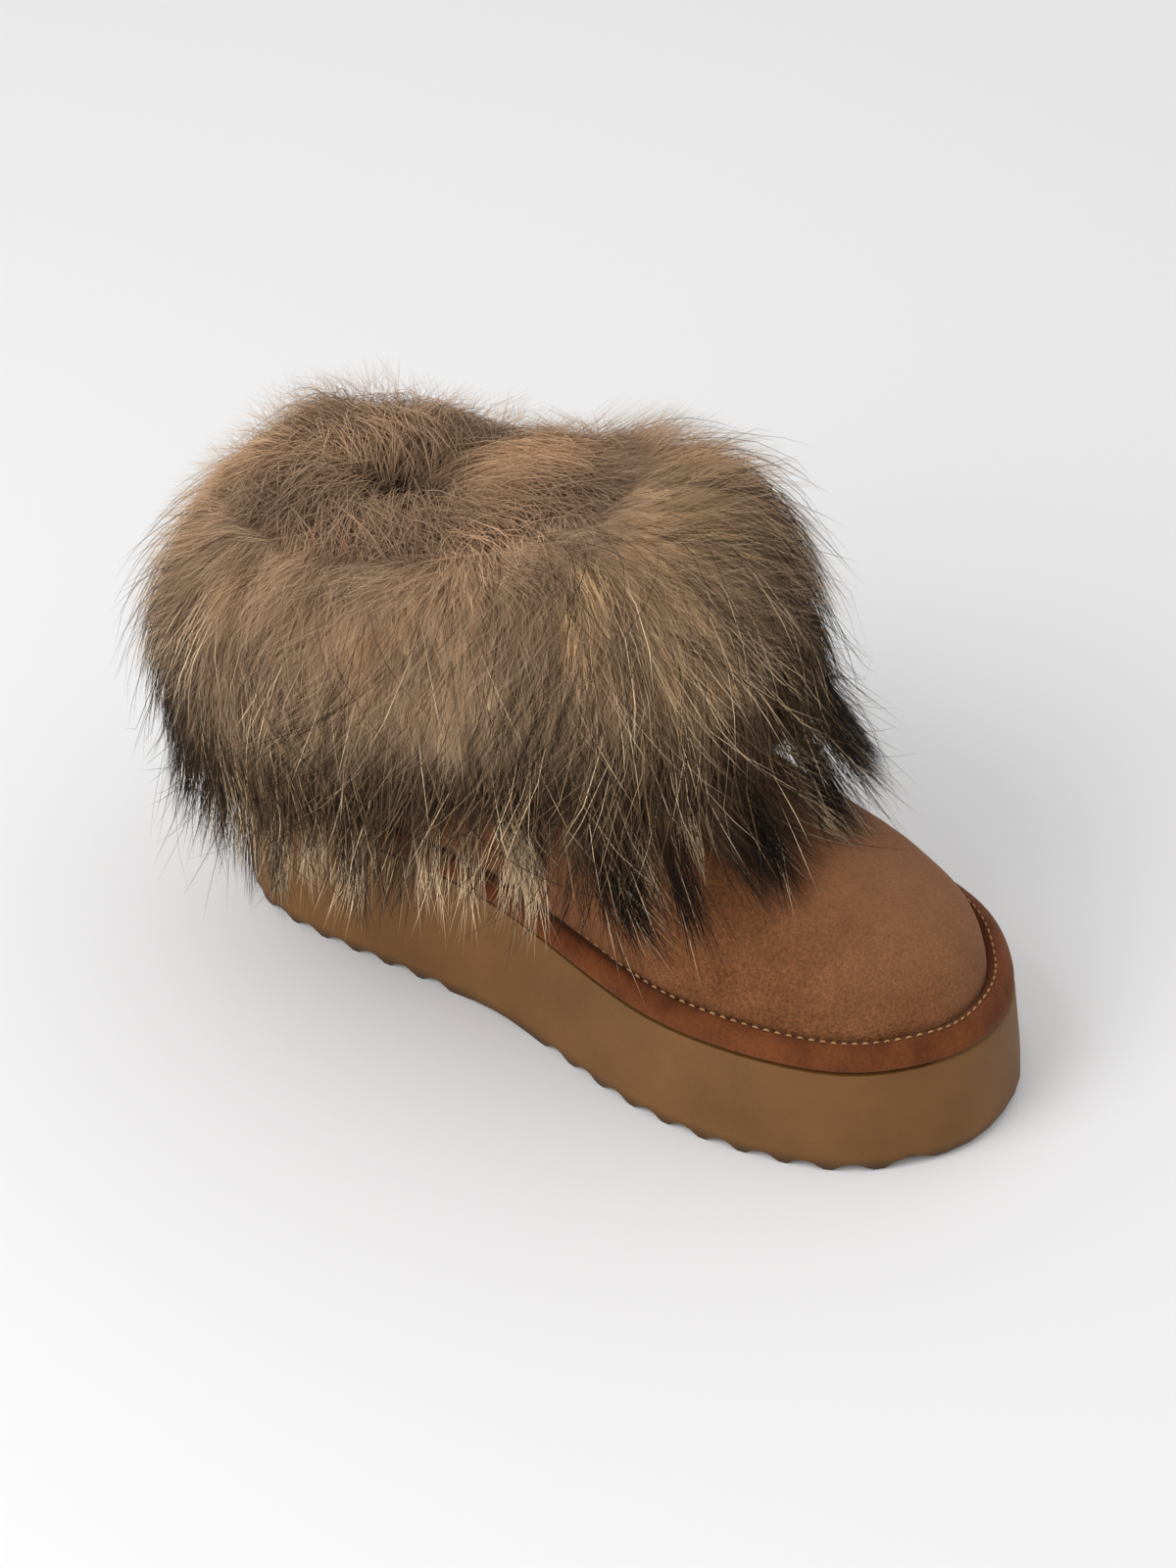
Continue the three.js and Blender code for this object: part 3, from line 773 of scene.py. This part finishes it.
def coat_colour(share, down, tone, at):
    """The underfur's colour at shares round and down the coat, with painted light and shade by side. It
    turns dark brown at the hem, partly the hair's own colour and partly painted shade under the
    overhang.
    """
    warm = np.clip(0.38 + 0.16 * tone + 0.2 * patchy(at, 0.022, 3) + 0.4 * band(share, 0.5, 0.09), 0, 1)
    colour = mix(np.array(TAUPE), np.array(GOLDEN), warm[..., None])
    grey = band(share, 0.66, 0.07) * ease((down - 0.3) / 0.25) * 0.7
    colour = mix(colour, np.array(GREY_BEIGE), grey[..., None])
    # Painted light and shade: side paints the coat lighter just past the toe and darker on the inner
    # side towards the heel.
    side = 0.24 * band(share, 0.52, 0.1) - 0.4 * band(share, 0.86, 0.12)
    light = np.exp(0.26 * tone + 0.2 * patchy(at, 0.03, 4) + side)
    # Towards the hem the coat turns dark brown: partly the hair's own dark brown, partly painted shade
    # under the coat's overhang.
    hem = ease((down - 0.7 - 0.035 * tone) / 0.15) * 0.94
    return mix(colour * light[..., None], np.array(DARK_BROWN), hem[..., None])


def coloured(piece, colours):
    """Gives each point of a piece its colour."""
    layer = piece.data.color_attributes.new(name="coat", type="FLOAT_COLOR", domain="POINT")
    solid = np.concatenate([colours.reshape(-1, 3), np.ones((colours.size // 3, 1))], axis=1)
    layer.data.foreach_set("color", solid.ravel())


def closed_both_ways(table):
    """A table of points with its first row and column repeated at the end."""
    return np.pad(table, ((0, 1), (0, 1), (0, 0)), mode="wrap")


coat_locks = new_locks(COAT_LOCKS, (-0.1, 0.92), (0.026, 0.042), 0.005, 0.005)
pelt_share = np.arange(PELT_ROUND) / PELT_ROUND
pelt_down = np.linspace(1, 0, PELT_DOWN)[None, :]
pelt_run = face_at(pelt_share)[:, None] * pelt_down
pelt_height, pelt_tone = lay_locks(coat_locks, pelt_share, pelt_run)
pelt_at, pelt_out = on_coat(pelt_share[:, None], pelt_run)
pelt_face = pelt_at + pelt_out * (pelt_height * PELT_RELIEF - PELT_SUNK)[..., None]
pelt_colour = coat_colour(pelt_share[:, None], pelt_down, pelt_tone, pelt_face)
# The pelt is painted darker where its locks sink: partly the underfur's darker roots, partly painted
# shade between and under the locks.
pelt_colour *= (0.5 + 0.75 * pelt_height)[..., None]
under = [fur_point(pelt_share, np.full(PELT_ROUND, place)) for place in PELT_UNDER]
under = [ring * (0.94, 0.94, 1) + (0, COLLAR_Y * 0.06, 0.002) for ring in under]
rim_places, rim_out = on_curve(collar_curve, pelt_share)
lip = []
for inwards, up in LIP_ROWS:
    flat = rim_places - rim_out * inwards
    lip.append(np.concatenate([flat, (rim_height(flat[:, 1]) + up)[:, None]], axis=1))
closing = [mix(lip[-1], under[0], share) for share in (0.33, 0.66)]
under_points = np.stack(under, axis=1)
lip_points = np.stack(lip + closing, axis=1)
pelt_points = np.concatenate([under_points, pelt_face, lip_points], axis=1)
# The pelt's underside is dark brown: partly the hair's own dark brown, partly painted shade under the
# overhang.
low_colour = np.tile(DARK_BROWN, (PELT_ROUND, len(under), 1))
# Painted shade: the lip that turns down into the leg opening is painted at 0.6 of the taupe.
lip_colour = np.tile(np.array(TAUPE) * 0.6, (PELT_ROUND, len(lip) + len(closing), 1))
pelt_colours = np.concatenate([low_colour, pelt_colour, lip_colour], axis=1)
bpy.ops.object.select_all(action="DESELECT")
bpy.ops.mesh.primitive_grid_add(x_subdivisions=pelt_points.shape[1], y_subdivisions=PELT_ROUND)
pelt_body = bpy.context.object
pelt_body.name = "fur_pelt"
pelt_body.data.vertices.foreach_set("co", closed_both_ways(pelt_points).ravel())
coloured(pelt_body, closed_both_ways(pelt_colours))
bpy.ops.object.mode_set(mode="EDIT")
bpy.ops.mesh.select_all(action="SELECT")
bpy.ops.mesh.remove_doubles(threshold=0.000001)
bpy.ops.mesh.normals_make_consistent(inside=False)
bpy.ops.object.mode_set(mode="OBJECT")
bpy.ops.object.shade_smooth()

pelt, pelt_tree, pelt_shader = new_material(
    "underfur", Sheen_Weight=0.15, Specular_IOR_Level=0.1, Roughness=0.95
)
pelt_map = add_node(pelt_tree, "ShaderNodeUVMap", uv_map=pelt_body.data.uv_layers[0].name)
strand_scale = (11.0, ROUND / 0.0007, 1.0)
strand_place = add_node(
    pelt_tree, "ShaderNodeMapping", {"Vector": pelt_map.outputs["UV"], "Scale": strand_scale}
)
strand = add_node(
    pelt_tree,
    "ShaderNodeTexNoise",
    {"Vector": strand_place.outputs[0], "Scale": 1.0, "Detail": 3.0, "Distortion": 0.6},
)
strand_light = add_node(
    pelt_tree,
    "ShaderNodeMapRange",
    {"Value": strand.outputs["Fac"], "From Min": 0.3, "From Max": 0.7, "To Min": 0.55, "To Max": 1.4},
)
pelt_coat = add_node(pelt_tree, "ShaderNodeAttribute", attribute_name="coat")
pelt_toned = add_node(
    pelt_tree,
    "ShaderNodeHueSaturation",
    {"Color": pelt_coat.outputs["Color"], "Value": strand_light.outputs[0]},
)
pelt_bump = add_node(
    pelt_tree,
    "ShaderNodeBump",
    {"Height": strand.outputs["Fac"], "Distance": 0.0008, "Strength": 1.0},
)
pelt_tree.links.new(pelt_toned.outputs[0], pelt_shader.inputs["Base Color"])
pelt_tree.links.new(pelt_bump.outputs[0], pelt_shader.inputs["Normal"])
give(pelt_body, pelt, "fur_collar")

# The coat proper: fine dense hair along each lock of the underfur, darker at its roots. Each hair is a
# closed tapered strand, and each family of hairs is one mesh with a colour at every point.
COAT_HAIRS = 17500
# The root-to-tip shades are partly the hair's own darker root, partly painted shade at the root and
# painted light at the tip.
COAT_SHADES = np.array([0.5, 1.0, 1.35])[None, :, None]  # at the root, the middle and the tip
SIDE_REACH = 0.091  # no hair goes further out to a side than this
SIDE_SOFT = 0.014
TOP_REACH = 0.185
TOP_SOFT = 0.008
LOW_END = 0.022  # hair that would hang below this is drawn up
LOW_SOFT = 0.016
LAID_CLEAR = 0.0007  # hair that lies on the boot keeps this far from it
LAID_REACH = 0.035

fur, fur_tree, fur_shader = new_material("long_fur", Roughness=0.55, Specular_IOR_Level=0.1)
fur_colour = add_node(fur_tree, "ShaderNodeAttribute", attribute_name="coat")
fur_tree.links.new(fur_colour.outputs["Color"], fur_shader.inputs["Base Color"])


def make_hair(name, paths, thickness, colours, taper=2.2):
    """Closed three-sided hairs along paths, with colours at even steps from root to tip."""
    hairs, points = paths.shape[:2]
    tangent = unit(np.gradient(paths, axis=1))
    side = unit(np.cross(tangent, np.array([0.31, 0.23, 0.92])))
    upright = np.cross(side, tangent)
    along = np.linspace(0, 1, points)
    girth = np.minimum(1.0, 0.45 + along * 3) * (1 - along**taper)
    rings = []
    for k in range(3):
        turn = 2 * math.pi * k / 3
        offset = side * math.cos(turn) + upright * math.sin(turn)
        radius = thickness[:, None] * girth[None, :-1]
        rings.append(paths[:, :-1] + offset[:, :-1] * radius[..., None])
    body = np.stack(rings, axis=2).reshape(hairs, (points - 1) * 3, 3)
    at = np.concatenate([body, paths[:, -1:]], axis=1)
    faces = []
    for row in range(points - 2):
        for k in range(3):
            a, b = row * 3 + k, row * 3 + (k + 1) % 3
            faces.append((a, b, b + 3, a + 3))
    last, tip = (points - 2) * 3, (points - 1) * 3
    faces += [(last + k, last + (k + 1) % 3, tip) for k in range(3)]
    faces.append((2, 1, 0))
    piece = join_parts(name, at, faces)
    shade = np.concatenate([np.repeat(along[:-1], 3), along[-1:]])
    stops = np.linspace(0, 1, colours.shape[1])
    low = np.clip(np.searchsorted(stops, shade, side="right") - 1, 0, len(stops) - 2)
    part = (shade - stops[low]) / (stops[low + 1] - stops[low])
    coloured(piece, mix(colours[:, low], colours[:, low + 1], part[None, :, None]))
    give(piece, fur, "fur_collar")


def kept_in_reach(paths):
    """Hairs that would stand too far out or up are drawn in softly, and none touches the floor."""
    x = paths[..., 0]
    z = paths[..., 2]
    over = np.maximum(np.abs(x) - (SIDE_REACH - SIDE_SOFT), 0)
    x -= np.sign(x) * (over - SIDE_SOFT * (1 - np.exp(-over / SIDE_SOFT)))
    high = np.maximum(z - (TOP_REACH - TOP_SOFT), 0)
    z -= high - TOP_SOFT * (1 - np.exp(-high / TOP_SOFT))
    low = np.maximum(LOW_END - z, 0)
    z += low - LOW_SOFT * (1 - np.exp(-low / LOW_SOFT))
    return paths


below_fur = [form_of(sole), upper_form, form_of(rand)]


def laid_on_boot(paths):
    """Hairs that would sink into the vamp, rand or sole lie on them instead."""
    down = Vector((0, 0, -1))
    for hair in paths:
        for place in hair[1:]:
            above = Vector((place[0], place[1], place[2] + LAID_REACH))
            for form in below_fur:
                hit = form.ray_cast(above, down, LAID_REACH)[0]
                if hit and hit.z + LAID_CLEAR > place[2]:
                    place[2] = hit.z + LAID_CLEAR
    return paths


def comb(locks, count, spread, lift, gather, points, wild=0.0):
    """Paths of hairs that lie along locks, each hair's lock, and shares round and down the coat.

    spread is how far hairs start from their lock's start, lift the heights over the coat at root and
    tip, gather how far the tips close up, and wild how far a tip strays sideways.
    """
    lock = rng.integers(0, len(locks["share"]), count)
    here = locks["share"][lock]
    face_here = face_at(here)
    reach = locks["length"][lock] * rng.uniform(0.75, 1.05, count)
    over = rng.normal(0, spread, count)
    down = locks["start"][lock] * face_here + rng.normal(0, spread, count)
    lowest = face_here + locks["hang"][lock] * rng.uniform(0.6, 1.0, count) - reach
    down = np.clip(down, 0, np.maximum(lowest, 0))
    swing = locks["drift"][lock] + rng.normal(0, 0.002 + wild, count)
    s = np.linspace(0, 1, points)[None, :]
    across = over[:, None] * (1 - gather * s**1.2) + swing[:, None] * s**1.6
    run = down[:, None] + reach[:, None] * s
    places, normals = on_coat(here[:, None] + across / ROUND, run)
    own_lift = locks["lift"][lock] + rng.normal(0, 0.0008, count)
    rise = mix(lift[0], lift[1], s**1.4) + own_lift[:, None] * s
    paths = kept_in_reach(places + normals * rise[..., None])
    return paths, lock, here[:, None], run / face_here[:, None]


def tinted(colour, count, spread=0.14):
    """count copies of a colour, each a little lighter or darker."""
    return np.array(colour)[None, :] * np.exp(rng.normal(0, spread, count))[:, None]


def chance(odds):
    """True for each hair as often as its odds say."""
    return (rng.uniform(0, 1, len(odds)) < odds)[:, None]


for part in range(2):
    paths, lock, share, down = comb(
        coat_locks, COAT_HAIRS, spread=0.0042, lift=(-0.007, 0.0005), gather=0.8, points=3
    )
    colours = coat_colour(share, down, coat_locks["tone"][lock][:, None], paths)
    own_light = np.exp(rng.normal(0, 0.25, COAT_HAIRS))[:, None, None]
    thickness = rng.uniform(0.0001, 0.00019, COAT_HAIRS)
    make_hair(f"fur_coat_{part + 1}", paths, thickness, colours * COAT_SHADES * own_light)

# The guard hair: long, thin and glossy, cream in some locks and dark brown or black at the ends in
# others, above all at the outer front and towards the heel, where it hangs furthest.
BLACK_ENDS = [  # share round the collar, width, how far the hair hangs lower
    (0.45, 0.06, 0.04),
    (0.525, 0.01, 0.026),
    (0.605, 0.01, 0.02),
    (0.88, 0.05, 0.006),
]
GUARD_LOCKS = 240
GUARD_HAIRS = 2600
PALE_SIDES = [(0.53, 0.07), (0.84, 0.08)]  # share round the collar and width
THIN_AT = (0.67, 0.05)  # the same of the grey middle of the inner side, which has little guard hair
HAIR_TAPER = 4


def black_at(share):
    """How black the hair's ends are at a share of the way round."""
    return sum(band(share, centre, width) for centre, width, lower in BLACK_ENDS)


def lower_at(share):
    """How much lower the hair hangs at a share of the way round."""
    return sum(lower * band(share, centre, width) for centre, width, lower in BLACK_ENDS)


guard_locks = new_locks(GUARD_LOCKS, (0.08, 0.86), (0.045, 0.075), 0.006, 0.03)
guard_locks["hang"] += lower_at(guard_locks["share"])
pale_locks = rng.uniform(0, 1, GUARD_LOCKS) < 0.3
count = GUARD_HAIRS
for part in range(2):
    paths, lock, share, down = comb(
        guard_locks, count, spread=0.007, lift=(-0.003, 0.0075), gather=0.75, points=5, wild=0.003
    )
    black_end = chance(0.08 + 0.85 * black_at(share[:, 0]))
    pale_side = sum(band(share[:, 0], centre, width) for centre, width in PALE_SIDES)
    pale_side = np.clip(pale_side, 0.15, 1)
    pale_end = chance(np.where(pale_locks[lock], 0.9, 0.1) * pale_side)
    middle = mix(tinted(TAUPE, count), tinted(GOLDEN, count), rng.uniform(0, 1, count)[:, None])
    dull = mix(
        tinted(DARK_BROWN, count, 0.4), tinted(GOLDEN, count), rng.uniform(0, 1, count)[:, None] ** 2
    )
    tips = np.where(pale_end, tinted(CREAM, count, 0.08), dull)
    tips = np.where(black_end, tinted(BLACK, count, 0.4), tips)
    colours = np.stack([middle * 0.3, middle * 0.7, mix(middle, tips, 0.7), tips, tips], axis=1)
    kept = rng.uniform(0, 1, count) > 0.65 * band(share[:, 0], *THIN_AT)
    thickness = rng.uniform(0.00008, 0.00015, count)[kept]
    paths = laid_on_boot(paths[kept])
    make_hair(f"fur_guard_{part + 1}", paths, thickness, colours[kept], HAIR_TAPER)

# The fringe below the coat: dark brown hairs that turn cream, or black in some locks, gathered into
# pointed wisps with gaps that show the vamp, the rand and the side of the sole.
FRINGE_LOCKS = 80
FRINGE_HAIRS = 3600

fringe_locks = new_locks(FRINGE_LOCKS, (0.72, 0.98), (0.036, 0.062), 0.005, 0.044)
fringe_locks["hang"] += lower_at(fringe_locks["share"])
black_locks = rng.uniform(0, 1, FRINGE_LOCKS) < 0.34
count = FRINGE_HAIRS
paths, lock, share, down = comb(
    fringe_locks, count, spread=0.0032, lift=(-0.006, 0.002), gather=0.95, points=5, wild=0.0005
)
dark_end = chance(0.06 + 0.85 * black_at(share[:, 0]) + 0.8 * black_locks[lock])
root = tinted(DARK_BROWN, count)
middle = mix(root, tinted(GOLDEN, count), rng.uniform(0.0, 0.4, count)[:, None])
light = mix(tinted(CREAM, count, 0.08), tinted(GOLDEN, count), rng.uniform(0, 1, count)[:, None] ** 3)
tips = np.where(dark_end, tinted(BLACK, count, 0.4), light)
colours = np.stack([root, root, middle, mix(middle, tips, 0.9), tips], axis=1)
thickness = rng.uniform(0.00009, 0.00017, count)
make_hair("fur_fringe", laid_on_boot(paths), thickness, colours, HAIR_TAPER)

# Black wisps: long pointed locks of the same pelt at the front of the collar. Those at the outer front
# hang free beside the vamp, and the others lie on its suede.
WISPS = [0.42, 0.43, 0.44, 0.45, 0.458, 0.466, 0.48, 0.52, 0.53, 0.572, 0.602, 0.612]
WISP_HAIRS = 1250

wisp_locks = new_locks(len(WISPS), (0.72, 0.86), (0.056, 0.068), 0.002, 0.07)
wisp_locks["share"] = np.array(WISPS)
count = WISP_HAIRS
paths, lock, share, down = comb(
    wisp_locks, count, spread=0.0028, lift=(-0.003, 0.004), gather=0.9, points=5, wild=0.0008
)
ends = np.where(chance(np.full(count, 0.93)), tinted(BLACK, count, 0.4), tinted(CREAM, count))
root = tinted(DARK_BROWN, count)
colours = np.stack([root, mix(root, tinted(GOLDEN, count), 0.35), root, ends, ends], axis=1)
thickness = rng.uniform(0.00009, 0.00016, count)
make_hair("fur_wisps", laid_on_boot(paths), thickness, colours, HAIR_TAPER)

# The soft hair that closes the leg opening: it lies inwards from the rim and leaves a small darker
# pocket in the middle.
HOLLOW = np.array([0.010, 0.004])
HOLLOW_RADIUS = 0.003
OPENING_HAIRS = 5600


def turned(way, turn):
    """Level directions, turned by angles."""
    x = way[:, 0] * np.cos(turn) - way[:, 1] * np.sin(turn)
    y = way[:, 0] * np.sin(turn) + way[:, 1] * np.cos(turn)
    return np.stack([x, y], axis=1)


count = OPENING_HAIRS
share = rng.uniform(0, 1, count)
rim_at, rim_way = on_curve(collar_curve, share)
begin = rim_at - rim_way * rng.uniform(-0.010, 0.013, count)[:, None]
aim_x = HOLLOW[0] + rng.normal(0, 0.008, count)
aim_y = mix(begin[:, 1], HOLLOW[1], rng.uniform(0.3, 0.8, count))
aim = np.stack([aim_x, aim_y], axis=1)
gap_left = np.linalg.norm(aim - begin, axis=1)
way = turned(unit(aim - begin), rng.normal(0.2, 0.35, count))
reach = np.minimum(rng.uniform(0.022, 0.05, count), np.maximum(gap_left + 0.006, 0.012))
s = np.linspace(0, 1, 4)[None, :]
flat = begin[:, None, :] + way[:, None, :] * (reach[:, None] * s)[..., None]
crown = rim_height(begin[:, 1]) + mix(0.005, 0.012, toe_share(share)) + crown_row(1, share) * 0.7
arch = 0.006 * np.sin(math.pi * s * 0.8) - 0.007 * s**2
height = (crown + rng.uniform(-0.008, 0.001, count))[:, None] + arch
paths = np.concatenate([flat, height[..., None]], axis=2)
paths = paths[np.linalg.norm(flat[:, -1] - HOLLOW, axis=1) > HOLLOW_RADIUS]
count = len(paths)
soft = np.exp(0.2 * patchy(paths, 0.02, 6))[..., None]
middle = mix(tinted(TAUPE, count), tinted(GREY_BEIGE, count), rng.uniform(0, 0.7, count)[:, None])
tips = mix(middle, tinted(GOLDEN, count), 0.3)
colours = np.stack([middle * 0.5, middle * 0.85, middle, tips], axis=1) * soft
make_hair("fur_opening", paths, rng.uniform(0.0001, 0.00019, count), colours)

# The crown: loose soft hair of the pelt on both sides of the rim. It hides the parting, stands up a
# little and then falls with the dome of the collar.
CROWN_HAIRS = 8200

count = CROWN_HAIRS
share = rng.uniform(0, 1, count)
rim_at, rim_way = on_curve(collar_curve, share)
inset = rng.uniform(-0.014, 0.01, count)
begin = rim_at - rim_way * inset[:, None]
begin_level = np.concatenate([begin, np.zeros((count, 1))], axis=1)
turn = patchy(begin_level, 0.02, 8) + rng.normal(0.2, 0.3, count)
way = turned(rim_way, turn)
reach = rng.uniform(0.012, 0.025, count)
s = np.linspace(0, 1, 3)[None, :]
flat = begin[:, None, :] + way[:, None, :] * (reach[:, None] * s)[..., None]
toe = toe_share(share)
crown = rim_height(begin[:, 1]) + mix(0.005, 0.014, toe) + crown_row(1, share)
outside = np.maximum(reach[:, None] * s * np.cos(turn)[:, None] - inset[:, None], 0)
falls = 0.03 * (outside / mix(DEPTH_SIDE, DEPTH_TOE, toe)[:, None]) ** 2
arch = reach[:, None] * (0.34 * s - 0.2 * s**2) - falls
height = (crown + rng.uniform(-0.006, 0.001, count))[:, None] + arch
paths = np.concatenate([flat, height[..., None]], axis=2)
soft = np.exp(0.22 * patchy(paths, 0.02, 6))[..., None]
middle = mix(tinted(TAUPE, count), tinted(GREY_BEIGE, count), rng.uniform(0, 1, count)[:, None])
colours = np.stack([middle * 0.85, middle, mix(middle, tinted(CREAM, count), 0.3)], axis=1) * soft
make_hair("fur_crown", paths, rng.uniform(0.00007, 0.00013, count), colours)

# The fluff: short fine underhair that works out through the crown and the upper coat. It stands off
# them and is pale at its ends, so the boot's edge looks soft.
FLUFF_HAIRS = 10500

fluff_locks = new_locks(700, (-0.05, 0.6), (0.011, 0.022), 0.004, 0)
count = FLUFF_HAIRS
paths, lock, share, down = comb(
    fluff_locks, count, spread=0.005, lift=(-0.002, 0.0105), gather=0.3, points=3, wild=0.002
)
middle = mix(tinted(TAUPE, count), tinted(GREY_BEIGE, count), rng.uniform(0, 1, count)[:, None])
colours = np.stack([middle * 0.8, middle, mix(middle, tinted(CREAM, count), 0.5)], axis=1)
make_hair("fur_fluff", paths, rng.uniform(0.00004, 0.00008, count), colours)

# Stray hairs: a few long, thin, dark guard hairs that have sprung loose from their locks and curve out
# of the coat.
STRAY_HAIRS = 640

stray_locks = new_locks(420, (0.0, 0.95), (0.04, 0.065), 0.014, 0.045)
count = STRAY_HAIRS
paths, lock, share, down = comb(
    stray_locks, count, spread=0.01, lift=(-0.002, 0.016), gather=0.0, points=7, wild=0.012
)
dark = mix(tinted(BLACK, count), tinted(DARK_BROWN, count), rng.uniform(0, 1, count)[:, None])
colours = np.stack([dark * 2, dark, dark], axis=1)
thickness = rng.uniform(0.00008, 0.00012, count)
make_hair("fur_strays", laid_on_boot(paths), thickness, colours, HAIR_TAPER)

# The place where the boot stands: a pale studio floor, soft light from the left and above, and the
# camera at the height of a standing person's hand, looking down at the inner side and the toe.
FLOOR_SIZE = 14
AIM = np.array((0.0, -0.06, 0.06))  # the lights point at the middle of the boot
CAMERA_AT = (-0.6723, -0.5311, 0.6492)
CAMERA_TURN = (54.52, 1.49, -56.39)
CAMERA_LENS = 74.25

bpy.ops.object.select_all(action="DESELECT")
bpy.ops.mesh.primitive_plane_add(size=FLOOR_SIZE)
floor = bpy.context.object
floor.name = "studio_floor"
paper, paper_tree, paper_shader = new_material("pale_paper", Roughness=0.9)
paper_shader.inputs["Base Color"].default_value = (0.735, 0.73, 0.732, 1)
floor.data.materials.append(paper)

world = bpy.data.worlds.new("studio")
bpy.context.scene.world = world
world.use_nodes = True
world.node_tree.nodes["Background"].inputs["Color"].default_value = (1.0, 1.0, 1.0, 1)
world.node_tree.nodes["Background"].inputs["Strength"].default_value = 0.92


def soft_light(name, at, size, power):
    """A square lamp of a size in metres and a power in watts, pointed at the boot."""
    bpy.ops.object.light_add(type="AREA", location=at)
    light = bpy.context.object
    light.name = name
    light.data.size = size
    light.data.energy = power
    way = np.array(at) - AIM
    level = math.hypot(way[0], way[1])
    light.rotation_euler = (math.atan2(level, way[2]), 0, math.atan2(way[1], way[0]) + math.pi / 2)


soft_light("window_light", (-1.2, 0.45, 1.35), 1.0, 14)
soft_light("side_light", (-1.35, 0.1, 0.5), 0.8, 4.5)

bpy.ops.object.camera_add(location=CAMERA_AT, rotation=[math.radians(a) for a in CAMERA_TURN])
camera = bpy.context.object
camera.data.lens = CAMERA_LENS
bpy.context.scene.camera = camera
bpy.context.scene.view_settings.view_transform = "Standard"
